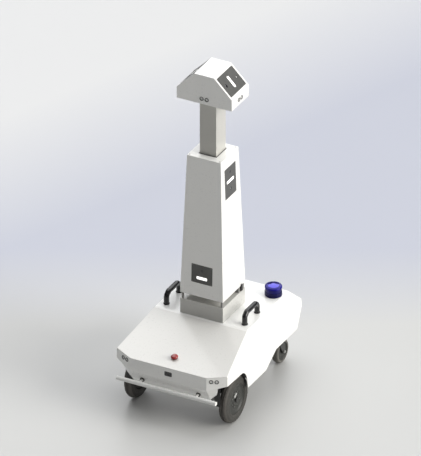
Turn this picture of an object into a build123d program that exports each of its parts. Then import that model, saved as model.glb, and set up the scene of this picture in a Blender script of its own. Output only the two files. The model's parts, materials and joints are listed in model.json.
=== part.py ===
"""Four-wheeled scanning robot: low chassis, tapered tower, lifting mast and sensor head.

Millimetres, +Z up, the front faces -Y. The origin is on the floor, below the centre of the object's box.
"""
import os
from math import asin, degrees, radians, tan

from build123d import *

os.makedirs("parts", exist_ok=True)

# ---------------------------------------------------------------- driving dimensions
# Body envelope
SIDE_X = 362.0              # half width at the belt
DECK_X = 300.0              # half width of the flat deck
NOSE_X = 250.0              # half width of the front face
TAIL_X = 325.0              # half width of the rear edge
NOSE_Y = -501.0             # front face
SHOULDER_Y = -452.0         # where the front corner facet meets the side
CREASE_Y = -86.0            # fold between hood and deck
DECK_END_Y = 422.0          # rear edge of the flat deck
HIP_Y = 480.0               # where the rear corner facet meets the side
TAIL_Y = 534.5              # rearmost edge
DECK_Z = 501.0
BELT_Z = 388.0
NOSE_Z = 379.0              # top of the front face
CHIN_Z = 295.0              # bottom of the front face
BELLY_Z = 186.0             # underside between the drive wheels
REAR_BELLY_Z = 261.0        # underside above the casters
SKIN = 4.0                  # wall of the covers

# Drive wheels
WHEEL_X = 310.0
WHEEL_Y = -281.0
WHEEL_R = 145.0
WHEEL_W = 58.0
HUB_R = 92.0
AXLE_R = 10.0
WELL_X = 252.0              # inner wall of the wheel well
WELL_FRONT_Y = -455.0
WELL_REAR_Y = -100.0
WELL_Z = 327.0              # ceiling of the wheel well
WELL_LEAN = 37.0            # how far the well's rear wall leans forward at the ceiling
ARCH_CROWN = (-262.0, 319.0)    # (Y, Z) where the flank's opening starts to bend down behind the wheel
ARCH_SHOULDER = (-224.0, 291.0)
ARCH_CALF = (-203.0, 231.0)
ARCH_END_Y = -194.0         # rear corner of the opening at the belly
CORNER_FOLD = (315.0, -472.6, 309.0)    # on the fold across the front corner facet
CORNER_TOE = (252.7, -446.7, 198.0)     # where the lower facet meets the chin
CORNER_FOOT_X = 271.0       # lower end of the front cover's outer edge
CORNER_EDGE = (309.0, 309.0)            # (X, Z) of that edge at the fold
CORNER_RISE_Z = 330.0       # height of the same edge where it meets the flank
DROP = 60.0                 # how far the cutting outlines reach below the belly
UNDERCUT_RUN = 58.0         # how far the rear face runs forward below the belt
BELLY_RISE_Y = (31.0, 160.0)
BRACKET_T = 8.0

# Casters
CASTER_X = 242.0
CASTER_Y = 400.0            # swivel axis
CASTER_TRAIL = 38.0
CASTER_R = 75.0
CASTER_W = 40.0
CASTER_TOP_Z = 172.0        # underside of the top plate

# Bumper
BAR_Y = -522.0
BAR_Z = 238.0
BAR_R = 12.5
BAR_LENGTH = 650.0
ROD_X = 183.0
ROD_R = 7.0

# Tower, mast and head
TOWER_Y = 54.0
PLINTH_HALF = 140.0
PLINTH_Z = 598.0
TOWER_Z = 638.0
TOWER_TOP_Z = 1545.0
TOWER_TOP_HALF = 110.0
TOWER_WALL = 5.0
MAST_X = 54.0
MAST_Y = 59.0
MAST_WALL = 4.0
MAST_FOOT_Z = 988.0
HEAD_Z = 1904.0
HEAD_WALL_Z = 1977.0
HEAD_TOP_Z = 2093.0
HEAD_X = 179.0
HEAD_TOP_X = 63.0
HEAD_Y = 106.0
HEAD_WALL = 4.0

# Lidar puck
LIDAR_X = 245.0
LIDAR_Y = 346.0
LIDAR_R = 51.5
LIDAR_BASE_H = 26.0
LIDAR_WINDOW_H = 24.0
LIDAR_CAP_H = 18.0

# Handles
HANDLE_X = 256.0
HANDLE_Y = 42.5
HANDLE_SPAN = 155.0
HANDLE_RISE = 71.0
HANDLE_R = 16.0

EYE_R = 12.5                # ultrasonic sensor can
EYE_PITCH = 33.0
GAP = 0.3                   # between parts that move past each other
RUN = 0.05                  # radial running clearance


def save(part, name):
    """Label a finished piece and write it."""
    part.label = name
    export_step(part, f"parts/{name}.step")


def disc(radius):
    """Round outline."""
    with BuildSketch() as outline:
        Circle(radius)
    return outline.sketch


def hexagon(radius):
    """Outline of a nut, from its corner radius."""
    with BuildSketch() as outline:
        RegularPolygon(radius, 6)
    return outline.sketch


# ---------------------------------------------------------------- body envelope
def outward_plane(a, b, c, inside):
    """Plane through three points with its normal pointing away from an inner point."""
    origin = Vector(*a)
    normal = (Vector(*b) - origin).cross(Vector(*c) - origin).normalized()
    if normal.dot(Vector(*inside) - origin) > 0:
        normal = -normal
    return Plane(origin=origin, z_dir=normal)


CORE = (0, 0, 340)              # a point well inside the body
DECK_PLANE = Plane(origin=(0, 0, DECK_Z), z_dir=(0, 0, 1))
HOOD_PLANE = outward_plane((0, CREASE_Y, DECK_Z), (9, CREASE_Y, DECK_Z), (0, NOSE_Y, NOSE_Z), CORE)
TAIL_PLANE = outward_plane((0, DECK_END_Y, DECK_Z), (9, DECK_END_Y, DECK_Z), (0, TAIL_Y, BELT_Z), CORE)
CHIN_PLANE = outward_plane((0, NOSE_Y, CHIN_Z), (9, NOSE_Y, CHIN_Z), (0, NOSE_Y + 61, BELLY_Z), CORE)
UNDERCUT = (TAIL_Y - UNDERCUT_RUN, REAR_BELLY_Z)
UNDERCUT_PLANE = outward_plane((0, TAIL_Y, BELT_Z), (9, TAIL_Y, BELT_Z), (0, *UNDERCUT), CORE)
NOSE_PLANE = Plane(origin=(0, NOSE_Y, CHIN_Z), z_dir=(0, -1, 0))


def flare_plane(side):
    """Sloping shoulder between the deck edge and the belt."""
    edge = (side * DECK_X, 0, DECK_Z)
    return outward_plane(edge, (side * DECK_X, 9, DECK_Z), (side * SIDE_X, 0, BELT_Z), CORE)


def side_plane(side):
    """Vertical flank."""
    return Plane(origin=(side * SIDE_X, 0, BELT_Z), z_dir=(side, 0, 0))


def nose_corner_plane(side):
    """Vertical facet between the front face and the flank."""
    a = (side * NOSE_X, NOSE_Y, NOSE_Z)
    return outward_plane(a, (side * NOSE_X, NOSE_Y, CHIN_Z), (side * SIDE_X, SHOULDER_Y, NOSE_Z), CORE)


def lower_corner_plane(side):
    """Facet below the fold of the front corner, which slopes inwards to the chin's foot."""
    fold = (side * CORNER_FOLD[0], *CORNER_FOLD[1:])
    toe = (side * CORNER_TOE[0], *CORNER_TOE[1:])
    return outward_plane((side * NOSE_X, NOSE_Y, CHIN_Z), fold, toe, CORE)


def hip_plane(side):
    """Undercut facet between the flank and the rear edge."""
    a = (side * SIDE_X, HIP_Y, BELT_Z)
    b = (side * TAIL_X, TAIL_Y, BELT_Z)
    return outward_plane(a, b, (side * SIDE_X, HIP_Y - UNDERCUT_RUN, REAR_BELLY_Z), CORE)


def well_profile(grow):
    """Side outline of the wheel well: first coordinate along Y, second along Z."""
    with BuildSketch() as profile:
        with BuildLine():
            Polyline(
                (WELL_FRONT_Y - grow, BELLY_Z - DROP),
                (WELL_FRONT_Y - grow, WELL_Z + grow),
                (WELL_REAR_Y - WELL_LEAN + grow, WELL_Z + grow),
                (WELL_REAR_Y + grow, BELLY_Z),
                (WELL_REAR_Y + grow, BELLY_Z - DROP),
                close=True,
            )
        make_face()
    return profile.sketch


def arch_profile():
    """Side outline of the opening in the flank, which bends down close behind the wheel's crown."""
    with BuildSketch() as profile:
        with BuildLine():
            Polyline(
                (ARCH_END_Y, BELLY_Z - DROP),
                (WELL_FRONT_Y, BELLY_Z - DROP),
                (WELL_FRONT_Y, WELL_Z),
                ARCH_CROWN,
            )
            ThreePointArc(ARCH_CROWN, ARCH_SHOULDER, ARCH_CALF)
            Polyline(ARCH_CALF, (ARCH_END_Y, BELLY_Z), (ARCH_END_Y, BELLY_Z - DROP))
        make_face()
    return profile.sketch


def belly_profile(lift):
    """Side outline of the space under the rear half of the body, as the wheel well's."""
    with BuildSketch() as profile:
        with BuildLine():
            Polyline(
                (BELLY_RISE_Y[0] - lift, BELLY_Z - DROP),
                (BELLY_RISE_Y[0] - lift, BELLY_Z + lift),
                (BELLY_RISE_Y[1] - lift * 0.4, REAR_BELLY_Z + lift),
                (TAIL_Y + DROP, REAR_BELLY_Z + lift),
                (TAIL_Y + DROP, BELLY_Z - DROP),
                close=True,
            )
        make_face()
    return profile.sketch


with BuildPart() as envelope:
    with BuildSketch(Plane.XY.offset(BELLY_Z)):
        with BuildLine():
            Polyline(
                (NOSE_X, NOSE_Y),
                (SIDE_X, SHOULDER_Y),
                (SIDE_X, HIP_Y),
                (TAIL_X, TAIL_Y),
                (-TAIL_X, TAIL_Y),
                (-SIDE_X, HIP_Y),
                (-SIDE_X, SHOULDER_Y),
                (-NOSE_X, NOSE_Y),
                close=True,
            )
        make_face()
    extrude(amount=DECK_Z - BELLY_Z)
    for face_plane in (HOOD_PLANE, TAIL_PLANE, CHIN_PLANE, UNDERCUT_PLANE):
        split(bisect_by=face_plane, keep=Keep.BOTTOM)
    for side in (-1, 1):
        for face_plane in (flare_plane(side), hip_plane(side), lower_corner_plane(side)):
            split(bisect_by=face_plane, keep=Keep.BOTTOM)
    # the raised rear underside
    with BuildSketch(Plane.YZ):
        add(belly_profile(0))
    extrude(amount=SIDE_X + 20, both=True, mode=Mode.SUBTRACT)
    for side in (-1, 1):
        # the wheel well, and the shorter arch through the flank
        with BuildSketch(Plane.YZ.offset(side * WELL_X)):
            add(well_profile(0))
        extrude(amount=side * (SIDE_X - WELL_X - SKIN), mode=Mode.SUBTRACT)
        with BuildSketch(Plane.YZ.offset(side * WELL_X)):
            add(arch_profile())
        extrude(amount=side * (SIDE_X - WELL_X + SKIN), mode=Mode.SUBTRACT)
        # the open corner ahead of the wheel
        with BuildSketch(Plane.XZ.offset(-WELL_FRONT_Y - 1)):
            with BuildLine():
                Polyline(
                    (side * CORNER_FOOT_X, BELLY_Z - SKIN),
                    (side * CORNER_EDGE[0], CORNER_EDGE[1]),
                    (side * (SIDE_X + SKIN), CORNER_RISE_Z),
                    (side * (SIDE_X + SKIN), BELLY_Z - SKIN),
                    close=True,
                )
            make_face()
        extrude(amount=DROP, mode=Mode.SUBTRACT)


def skin(*planes):
    """The layer of the envelope that lies within one wall of the given outer planes."""
    with BuildPart() as inner:
        add(envelope.part)
        for plane in planes:
            split(bisect_by=plane.offset(-SKIN), keep=Keep.BOTTOM)
    with BuildPart() as layer:
        add(envelope.part)
        add(inner.part, mode=Mode.SUBTRACT)
    return layer.part


SIDE_NAMES = {1: "right", -1: "left"}
LIDAR_SCREW_R = 2.1         # clearance hole
LIDAR_SCREW_RING = LIDAR_R - 16

# ---------------------------------------------------------------- covers
with BuildPart() as deck_cover:
    add(skin(DECK_PLANE))
    # screw holes of the lidar puck
    with Locations(Plane(origin=(LIDAR_X, LIDAR_Y, DECK_Z))):
        with PolarLocations(LIDAR_SCREW_RING, 3):
            Hole(radius=LIDAR_SCREW_R, depth=SKIN)
save(deck_cover.part, "deck_cover")

ESTOP_Y = -416.0
ESTOP_SPOT = Plane(
    origin=(0, ESTOP_Y, NOSE_Z + (ESTOP_Y - NOSE_Y) * (DECK_Z - NOSE_Z) / (CREASE_Y - NOSE_Y)),
    x_dir=(1, 0, 0),
    z_dir=HOOD_PLANE.z_dir,
)
ESTOP_HOLE_R = 11.0
with BuildPart() as hood_cover:
    add(skin(HOOD_PLANE))
    split(bisect_by=DECK_PLANE.offset(-SKIN), keep=Keep.BOTTOM)
    with BuildSketch(ESTOP_SPOT):
        Circle(ESTOP_HOLE_R)
    extrude(amount=-3 * SKIN, mode=Mode.SUBTRACT)
save(hood_cover.part, "hood_cover")

RAIL_X = 200.0              # the frame's rails, which the flank covers reach in to
flank_covers = {}
for side in (-1, 1):
    with BuildPart() as flank_cover:
        add(skin(side_plane(side), flare_plane(side)))
        split(bisect_by=Plane(origin=(side * RAIL_X, 0, 0), z_dir=(side, 0, 0)), keep=Keep.TOP)
        split(bisect_by=DECK_PLANE.offset(-SKIN), keep=Keep.BOTTOM)
        split(bisect_by=HOOD_PLANE.offset(-SKIN), keep=Keep.BOTTOM)
    flank_covers[side] = flank_cover.part
    save(flank_cover.part, f"flank_cover_{SIDE_NAMES[side]}")

REAR_COVER_Y = 380.0        # the rear cover lies behind this
with BuildPart() as rear_cover:
    add(skin(TAIL_PLANE, UNDERCUT_PLANE, hip_plane(1), hip_plane(-1)))
    split(bisect_by=Plane(origin=(0, REAR_COVER_Y, 0), z_dir=(0, 1, 0)), keep=Keep.TOP)
    split(bisect_by=DECK_PLANE.offset(-SKIN), keep=Keep.BOTTOM)
    for side in (-1, 1):
        split(bisect_by=side_plane(side).offset(-SKIN), keep=Keep.BOTTOM)
        split(bisect_by=flare_plane(side).offset(-SKIN), keep=Keep.BOTTOM)
save(rear_cover.part, "rear_cover")


CORNER_EYE_X = 298.0        # middle of each front corner's pair
CORNER_EYE_Z = 355.0


def corner_eye_plane(side, step):
    """Where one ultrasonic sensor sits on a front corner facet; step is -1 or 1."""
    corner = nose_corner_plane(side).z_dir
    along = Vector(-corner.Y, corner.X, 0).normalized()
    middle = Vector(side * CORNER_EYE_X, NOSE_Y, CORNER_EYE_Z) + along * (step * EYE_PITCH / 2)
    on_face = Vector(side * NOSE_X, NOSE_Y, CORNER_EYE_Z) - middle
    return Plane(origin=middle + corner * on_face.dot(corner), z_dir=corner)


CORNER_EYES = [corner_eye_plane(side, step) for side in (-1, 1) for step in (-1, 1)]
CAMERA_Z = 338.0
CAMERA_SPOT = Plane(origin=(0, NOSE_Y, CAMERA_Z), x_dir=(1, 0, 0), z_dir=(0, -1, 0))
CAMERA_W = 49.0
CAMERA_H = 30.0
CAMERA_CORNER = 6.0
ROD_SPOTS = [
    Plane(origin=(side * ROD_X, BAR_Y, BAR_Z), x_dir=(1, 0, 0), z_dir=(0, -1, 0)) for side in (-1, 1)
]
SLEEVE_R = 14.0
ROD_LENGTH = 120.0
with BuildPart() as front_cover:
    corner_planes = [make(side) for make in (nose_corner_plane, lower_corner_plane) for side in (-1, 1)]
    add(skin(NOSE_PLANE, CHIN_PLANE, *corner_planes))
    split(bisect_by=HOOD_PLANE.offset(-SKIN), keep=Keep.BOTTOM)
    for side in (-1, 1):
        split(bisect_by=side_plane(side).offset(-SKIN), keep=Keep.BOTTOM)
        split(bisect_by=flare_plane(side).offset(-SKIN), keep=Keep.BOTTOM)
    for eye in CORNER_EYES:
        with BuildSketch(eye):
            Circle(EYE_R)
        extrude(amount=-2 * SKIN, mode=Mode.SUBTRACT)
    with BuildSketch(CAMERA_SPOT):
        RectangleRounded(CAMERA_W, CAMERA_H, CAMERA_CORNER)
    extrude(amount=-SKIN, mode=Mode.SUBTRACT)
    for spot in ROD_SPOTS:
        with BuildSketch(spot):
            Circle(SLEEVE_R)
        extrude(amount=-ROD_LENGTH, mode=Mode.SUBTRACT)
save(front_cover.part, "front_cover")

# ---------------------------------------------------------------- underside
wheel_arches = {}
for side in (-1, 1):
    with BuildPart() as wheel_arch:
        with BuildSketch(Plane.YZ.offset(side * (WELL_X - SKIN))):
            add(well_profile(SKIN))
        extrude(amount=side * (SIDE_X - WELL_X + SKIN))
        add(envelope.part, mode=Mode.INTERSECT)
        add(front_cover.part, mode=Mode.SUBTRACT)
        add(flank_covers[side], mode=Mode.SUBTRACT)
    wheel_arches[side] = wheel_arch.part
    save(wheel_arch.part, f"wheel_arch_{SIDE_NAMES[side]}")

PAN_Y = -200.0              # middle of the low part of the belly
PAN_LENGTH = 640.0
with BuildPart() as belly_pan:
    with BuildSketch(Plane.YZ):
        add(belly_profile(SKIN))
    extrude(amount=SIDE_X, both=True)
    with BuildSketch(Plane.XY.offset(BELLY_Z)):
        with Locations((0, PAN_Y)):
            Rectangle(2 * SIDE_X, PAN_LENGTH)
    extrude(amount=SKIN)
    add(envelope.part, mode=Mode.INTERSECT)
    for neighbour in (front_cover.part, rear_cover.part, *flank_covers.values(), *wheel_arches.values()):
        add(neighbour, mode=Mode.SUBTRACT)
save(belly_pan.part, "belly_pan")

# ---------------------------------------------------------------- frame inside the body
RAIL = 40.0
RAIL_WALL = 3.0
FRAME_Z = REAR_BELLY_Z + SKIN
RAIL_FRONT_Y = -440.0
RAIL_REAR_Y = 445.0
CROSS_Y = (-420.0, WHEEL_Y, -20.0, 128.0, CASTER_Y)


def frame_bars(shrink):
    """Rails and cross members as solid bars, drawn in by the wall for their hollow cores."""
    width = RAIL - 2 * shrink
    with BuildPart() as bars:
        for side in (-1, 1):
            with BuildSketch(Plane.XZ.offset(-RAIL_FRONT_Y)):
                with Locations((side * RAIL_X, FRAME_Z + RAIL / 2)):
                    Rectangle(width, width)
            extrude(amount=-(RAIL_REAR_Y - RAIL_FRONT_Y))
        for cross_y in CROSS_Y:
            with BuildSketch(Plane.YZ.offset(-RAIL_X)):
                with Locations((cross_y, FRAME_Z + RAIL / 2)):
                    Rectangle(width, width)
            extrude(amount=2 * RAIL_X)
    return bars.part


with BuildPart() as chassis_frame:
    add(frame_bars(0))
    add(frame_bars(RAIL_WALL), mode=Mode.SUBTRACT)
save(chassis_frame.part, "chassis_frame")

BOX_CORNER = 8.0
BATTERY = (340.0, 240.0)
BATTERY_Y = -220.0
BATTERY_CLEAR = 4.0         # below the frame
with BuildPart() as battery_pack:
    with BuildSketch(Plane(origin=(0, BATTERY_Y, BELLY_Z + SKIN))):
        RectangleRounded(*BATTERY, BOX_CORNER)
    extrude(amount=FRAME_Z - BELLY_Z - SKIN - BATTERY_CLEAR)
save(battery_pack.part, "battery_pack")

CONTROL = (2 * RAIL_X, 260.0)
CONTROL_H = 90.0
with BuildPart() as control_box:
    with BuildSketch(Plane(origin=(0, TOWER_Y, FRAME_Z + RAIL))):
        RectangleRounded(*CONTROL, BOX_CORNER)
    extrude(amount=CONTROL_H)
save(control_box.part, "control_box")

# ---------------------------------------------------------------- drive wheels
HUB_INNER_X = 12.0          # hub shell, behind the tyre's inner face
DISH = 9.0                  # depth of the dished hub face
DISH_RIM = 6.0              # the hub's rim, set in from the tyre's face
SHOULDER = 22.0             # rounding of the tyre's shoulders, across and down
BEAD = 16.0                 # height of the tyre's bead
BOSS_R = 32.0
HALF_W = WHEEL_W / 2
for side in (-1, 1):
    centre = (side * WHEEL_X, WHEEL_Y, WHEEL_R)
    section = Plane(origin=centre, x_dir=(0, 0, 1), z_dir=(0, side, 0))
    spin = Axis(centre, (1, 0, 0))

    with BuildPart() as tyre:
        with BuildSketch(section):
            with BuildLine():
                Polyline(
                    (WHEEL_R - SHOULDER, HALF_W),
                    (HUB_R + BEAD, HALF_W),
                    (HUB_R, HALF_W - DISH_RIM),
                    (HUB_R, -HALF_W + DISH_RIM),
                    (HUB_R + BEAD, -HALF_W),
                    (WHEEL_R - SHOULDER, -HALF_W),
                )
                for face in (-1, 1):
                    ThreePointArc(
                        (WHEEL_R - SHOULDER, face * HALF_W),
                        (WHEEL_R - 5, face * (HALF_W - 9)),
                        (WHEEL_R, face * (HALF_W - SHOULDER)),
                    )
                Line((WHEEL_R, -HALF_W + SHOULDER), (WHEEL_R, HALF_W - SHOULDER))
            make_face()
        revolve(axis=spin)
    save(tyre.part, f"drive_tyre_{SIDE_NAMES[side]}")

    with BuildPart() as hub:
        with BuildSketch(section):
            with BuildLine():
                Polyline(
                    (AXLE_R + RUN, -HALF_W + HUB_INNER_X - 4),
                    (HUB_R - 12, -HALF_W + HUB_INNER_X - 4),
                    (HUB_R, -HALF_W + HUB_INNER_X + 4),
                    (HUB_R, HALF_W - DISH_RIM - 2),
                    (HUB_R - 5, HALF_W - DISH_RIM),
                    (HUB_R - 14, HALF_W - DISH - DISH_RIM),
                    (BOSS_R + 4, HALF_W - DISH - DISH_RIM),
                    (BOSS_R, HALF_W - DISH - 1),
                    (AXLE_R + RUN, HALF_W - DISH - 1),
                    close=True,
                )
            make_face()
        revolve(axis=spin)
    save(hub.part, f"hub_motor_{SIDE_NAMES[side]}")

BRACKET_TOP = (WHEEL_Y - 60, WHEEL_Y + 45)
BRACKET_WAIST = 30.0
BRACKET_FOOT = 16.0
with BuildPart() as wheel_brackets:
    for side in (-1, 1):
        with BuildSketch(Plane.YZ.offset(side * WELL_X)):
            with BuildLine():
                Polyline(
                    (BRACKET_TOP[0], WELL_Z),
                    (BRACKET_TOP[1], WELL_Z),
                    (WHEEL_Y + BRACKET_WAIST, WHEEL_R - 10),
                    (WHEEL_Y + BRACKET_FOOT, WHEEL_R - 28),
                    (WHEEL_Y - BRACKET_FOOT, WHEEL_R - 28),
                    (WHEEL_Y - BRACKET_WAIST, WHEEL_R - 10),
                    close=True,
                )
            make_face()
            with Locations((WHEEL_Y, WHEEL_R)):
                Circle(AXLE_R, mode=Mode.SUBTRACT)
        extrude(amount=side * BRACKET_T)
save(wheel_brackets.part, "wheel_brackets")

AXLE_END_X = WHEEL_X + HALF_W - 5
AXLE_NUT_X = WHEEL_X + HALF_W - DISH - 1 + GAP
AXLE_NUT = (17.0, 9.0)      # corner radius and thickness
COLLAR = (17.0, 7.0)        # shoulder against the bracket, radius and length
AXLE_STEPS = (
    (WELL_X, AXLE_END_X - WELL_X, disc(AXLE_R)),
    (WELL_X + BRACKET_T, COLLAR[1], disc(COLLAR[0])),
    (AXLE_NUT_X, AXLE_NUT[1], hexagon(AXLE_NUT[0])),
)
with BuildPart() as drive_axles:
    for side in (-1, 1):
        for start_x, length, outline in AXLE_STEPS:
            start = Plane(origin=(side * start_x, WHEEL_Y, WHEEL_R), x_dir=(0, 1, 0), z_dir=(1, 0, 0))
            with BuildSketch(start):
                add(outline)
            extrude(amount=side * length)
save(drive_axles.part, "drive_axles")

# ---------------------------------------------------------------- casters
FORK_T = 4.0
FORK_GAP = 3.0              # between the wheel and each cheek
CASTER_AXLE_R = 5.0
CASTER_NUT = (9.0, 6.0)
TOP_PLATE = (100.0, 76.0)
CASTER_PLATE_T = 6.0        # top plate and its two uprights
CASTER_HUB_R = 50.0         # where the wheel's thin web meets its rim
KING_PIN_R = 13.0
KING_NUT = (15.0, 9.0)
CROWN = (34.0, 14.0)        # radius and height of the fork's crown
CROWN_Z = CASTER_TOP_Z - 1
CASTER_WHEEL_Y = CASTER_Y + CASTER_TRAIL
FORK_X = CASTER_W / 2 + FORK_GAP
KING_NUT_Z = CROWN_Z + CASTER_PLATE_T + 1 + GAP
KING_PIN_STEPS = (
    (CROWN_Z, CASTER_PLATE_T + 1, disc(KING_PIN_R - RUN)),
    (CROWN_Z, KING_NUT_Z + KING_NUT[1] - CROWN_Z, disc(8)),
    (KING_NUT_Z, KING_NUT[1], hexagon(KING_NUT[0])),
)
for side in (-1, 1):
    caster_x = side * CASTER_X

    with BuildPart() as caster_mount:
        with BuildSketch(Plane(origin=(caster_x, CASTER_Y, CASTER_TOP_Z))):
            RectangleRounded(*TOP_PLATE, 6)
            Circle(KING_PIN_R, mode=Mode.SUBTRACT)
        extrude(amount=CASTER_PLATE_T)
        with BuildSketch(Plane(origin=(caster_x, CASTER_Y, CASTER_TOP_Z + CASTER_PLATE_T))):
            Rectangle(*TOP_PLATE)
            Rectangle(TOP_PLATE[0] - 2 * CASTER_PLATE_T, TOP_PLATE[1], mode=Mode.SUBTRACT)
        extrude(amount=REAR_BELLY_Z - CASTER_TOP_Z - CASTER_PLATE_T)
    save(caster_mount.part, f"caster_mount_{SIDE_NAMES[side]}")

    with BuildPart() as caster_fork:
        with BuildSketch(Plane(origin=(caster_x, CASTER_Y, CROWN_Z - CROWN[1]))):
            Circle(CROWN[0])
        extrude(amount=CROWN[1])
        fillet(caster_fork.edges().group_by(Axis.Z)[-1], radius=4)
        for start_z, length, outline in KING_PIN_STEPS:
            with BuildSketch(Plane(origin=(caster_x, CASTER_Y, start_z))):
                add(outline)
            extrude(amount=length)
        for cheek in (-1, 1):
            with BuildSketch(Plane.YZ.offset(caster_x + cheek * FORK_X)):
                with BuildLine():
                    Polyline(
                        (CASTER_Y - 30, CROWN_Z - 4),
                        (CASTER_Y + 30, CROWN_Z - 4),
                        (CASTER_WHEEL_Y + 14, CASTER_R + 6),
                        (CASTER_WHEEL_Y + 10, CASTER_R - 12),
                        (CASTER_WHEEL_Y - 10, CASTER_R - 12),
                        (CASTER_WHEEL_Y - 16, CASTER_R + 2),
                        close=True,
                    )
                make_face()
                with Locations((CASTER_WHEEL_Y, CASTER_R)):
                    Circle(CASTER_AXLE_R, mode=Mode.SUBTRACT)
            extrude(amount=cheek * FORK_T)
    save(caster_fork.part, f"caster_fork_{SIDE_NAMES[side]}")

    with BuildPart() as caster_axle:
        with BuildSketch(Plane.YZ.offset(caster_x - FORK_X - FORK_T)):
            with Locations((CASTER_WHEEL_Y, CASTER_R)):
                Circle(CASTER_AXLE_R)
        extrude(amount=2 * (FORK_X + FORK_T))
        for cheek in (-1, 1):
            with BuildSketch(Plane.YZ.offset(caster_x + cheek * (FORK_X + FORK_T))):
                with Locations((CASTER_WHEEL_Y, CASTER_R)):
                    RegularPolygon(CASTER_NUT[0], 6)
            extrude(amount=cheek * CASTER_NUT[1])
    save(caster_axle.part, f"caster_axle_{SIDE_NAMES[side]}")

    tread = CASTER_R - 7    # radius at the tread's edges
    half = CASTER_W / 2
    web = half - 7          # the wheel's web is thinner than its rim
    boss = half + 2
    hub_centre = (caster_x, CASTER_WHEEL_Y, CASTER_R)
    with BuildPart() as caster_wheel:
        with BuildSketch(Plane(origin=hub_centre, x_dir=(0, 0, 1), z_dir=(0, -1, 0))):
            with BuildLine():
                Polyline(
                    (tread, -half),
                    (CASTER_HUB_R + 4, -half),
                    (CASTER_HUB_R, -web),
                    (16, -web),
                    (14, -boss),
                    (CASTER_AXLE_R + RUN, -boss),
                    (CASTER_AXLE_R + RUN, boss),
                    (14, boss),
                    (16, web),
                    (CASTER_HUB_R, web),
                    (CASTER_HUB_R + 4, half),
                    (tread, half),
                )
                ThreePointArc((tread, half), (CASTER_R, 0), (tread, -half))
            make_face()
        revolve(axis=Axis(hub_centre, (1, 0, 0)))
    save(caster_wheel.part, f"caster_wheel_{SIDE_NAMES[side]}")

# ---------------------------------------------------------------- bumper
CAP_T = 6.0
BAR_WALL = 2.0
with BuildPart() as bumper_bar:
    with BuildSketch(Plane.YZ.offset(-BAR_LENGTH / 2 + CAP_T)):
        with Locations((BAR_Y, BAR_Z)):
            Circle(BAR_R)
            Circle(BAR_R - BAR_WALL, mode=Mode.SUBTRACT)
    extrude(amount=BAR_LENGTH - 2 * CAP_T)
save(bumper_bar.part, "bumper_bar")

with BuildPart() as bumper_caps:
    for side in (-1, 1):
        with BuildSketch(Plane.YZ.offset(side * (BAR_LENGTH / 2 - CAP_T))):
            with Locations((BAR_Y, BAR_Z)):
                Circle(BAR_R)
        extrude(amount=side * CAP_T)
save(bumper_caps.part, "bumper_caps")

SLEEVE_FRONT_Y = -478.0
SLEEVE_REAR_Y = -425.0
with BuildPart() as bumper_rods:
    for spot in ROD_SPOTS:
        with BuildSketch(spot):
            Circle(ROD_R)
        extrude(amount=-ROD_LENGTH)
    # the bar's own round, so that each rod end fits against it
    with BuildSketch(Plane.YZ.offset(-BAR_LENGTH / 2)):
        with Locations((BAR_Y, BAR_Z)):
            Circle(BAR_R)
    extrude(amount=BAR_LENGTH, mode=Mode.SUBTRACT)
save(bumper_rods.part, "bumper_rods")

with BuildPart() as bumper_sleeves:
    for spot in ROD_SPOTS:
        sleeve_front = spot.offset(BAR_Y - SLEEVE_FRONT_Y)
        with BuildSketch(sleeve_front):
            Circle(SLEEVE_R)
            Circle(ROD_R + RUN, mode=Mode.SUBTRACT)
        extrude(amount=-(SLEEVE_REAR_Y - SLEEVE_FRONT_Y))
save(bumper_sleeves.part, "bumper_sleeves")

# ---------------------------------------------------------------- handles
HANDLE_FILLET = 20.0
FOOT = (19.0, 3.0)          # radius and thickness of each foot
BEVEL = (24.0, 20.0)        # the slanted corners, along and down
for side in (-1, 1):
    start_y = HANDLE_Y - HANDLE_SPAN / 2
    end_y = HANDLE_Y + HANDLE_SPAN / 2
    foot_z = DECK_Z + FOOT[1]
    with BuildPart() as handle:
        with BuildLine(Plane.YZ.offset(side * HANDLE_X)) as route:
            FilletPolyline(
                (start_y, foot_z),
                (start_y, DECK_Z + HANDLE_RISE - BEVEL[1]),
                (start_y + BEVEL[0], DECK_Z + HANDLE_RISE),
                (end_y - BEVEL[0], DECK_Z + HANDLE_RISE),
                (end_y, DECK_Z + HANDLE_RISE - BEVEL[1]),
                (end_y, foot_z),
                radius=HANDLE_FILLET,
            )
        with BuildSketch(Plane(origin=(side * HANDLE_X, start_y, foot_z))):
            Circle(HANDLE_R)
        sweep(path=route.wires()[0])
        with BuildSketch(Plane.XY.offset(DECK_Z)):
            with Locations((side * HANDLE_X, start_y), (side * HANDLE_X, end_y)):
                Circle(FOOT[0])
        extrude(amount=FOOT[1])
    save(handle.part, f"handle_{SIDE_NAMES[side]}")

# ---------------------------------------------------------------- emergency stop
COLLAR_R = 18.0
COLLAR_H = 3.0
STEM_R = 7.0
BARREL_DEPTH = 26.0
with BuildPart() as estop_collar:
    with BuildSketch(ESTOP_SPOT):
        Circle(COLLAR_R)
        Circle(STEM_R, mode=Mode.SUBTRACT)
    extrude(amount=COLLAR_H)
    with BuildSketch(ESTOP_SPOT):
        Circle(ESTOP_HOLE_R)
        Circle(STEM_R, mode=Mode.SUBTRACT)
    extrude(amount=-BARREL_DEPTH)
save(estop_collar.part, "estop_collar")

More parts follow.
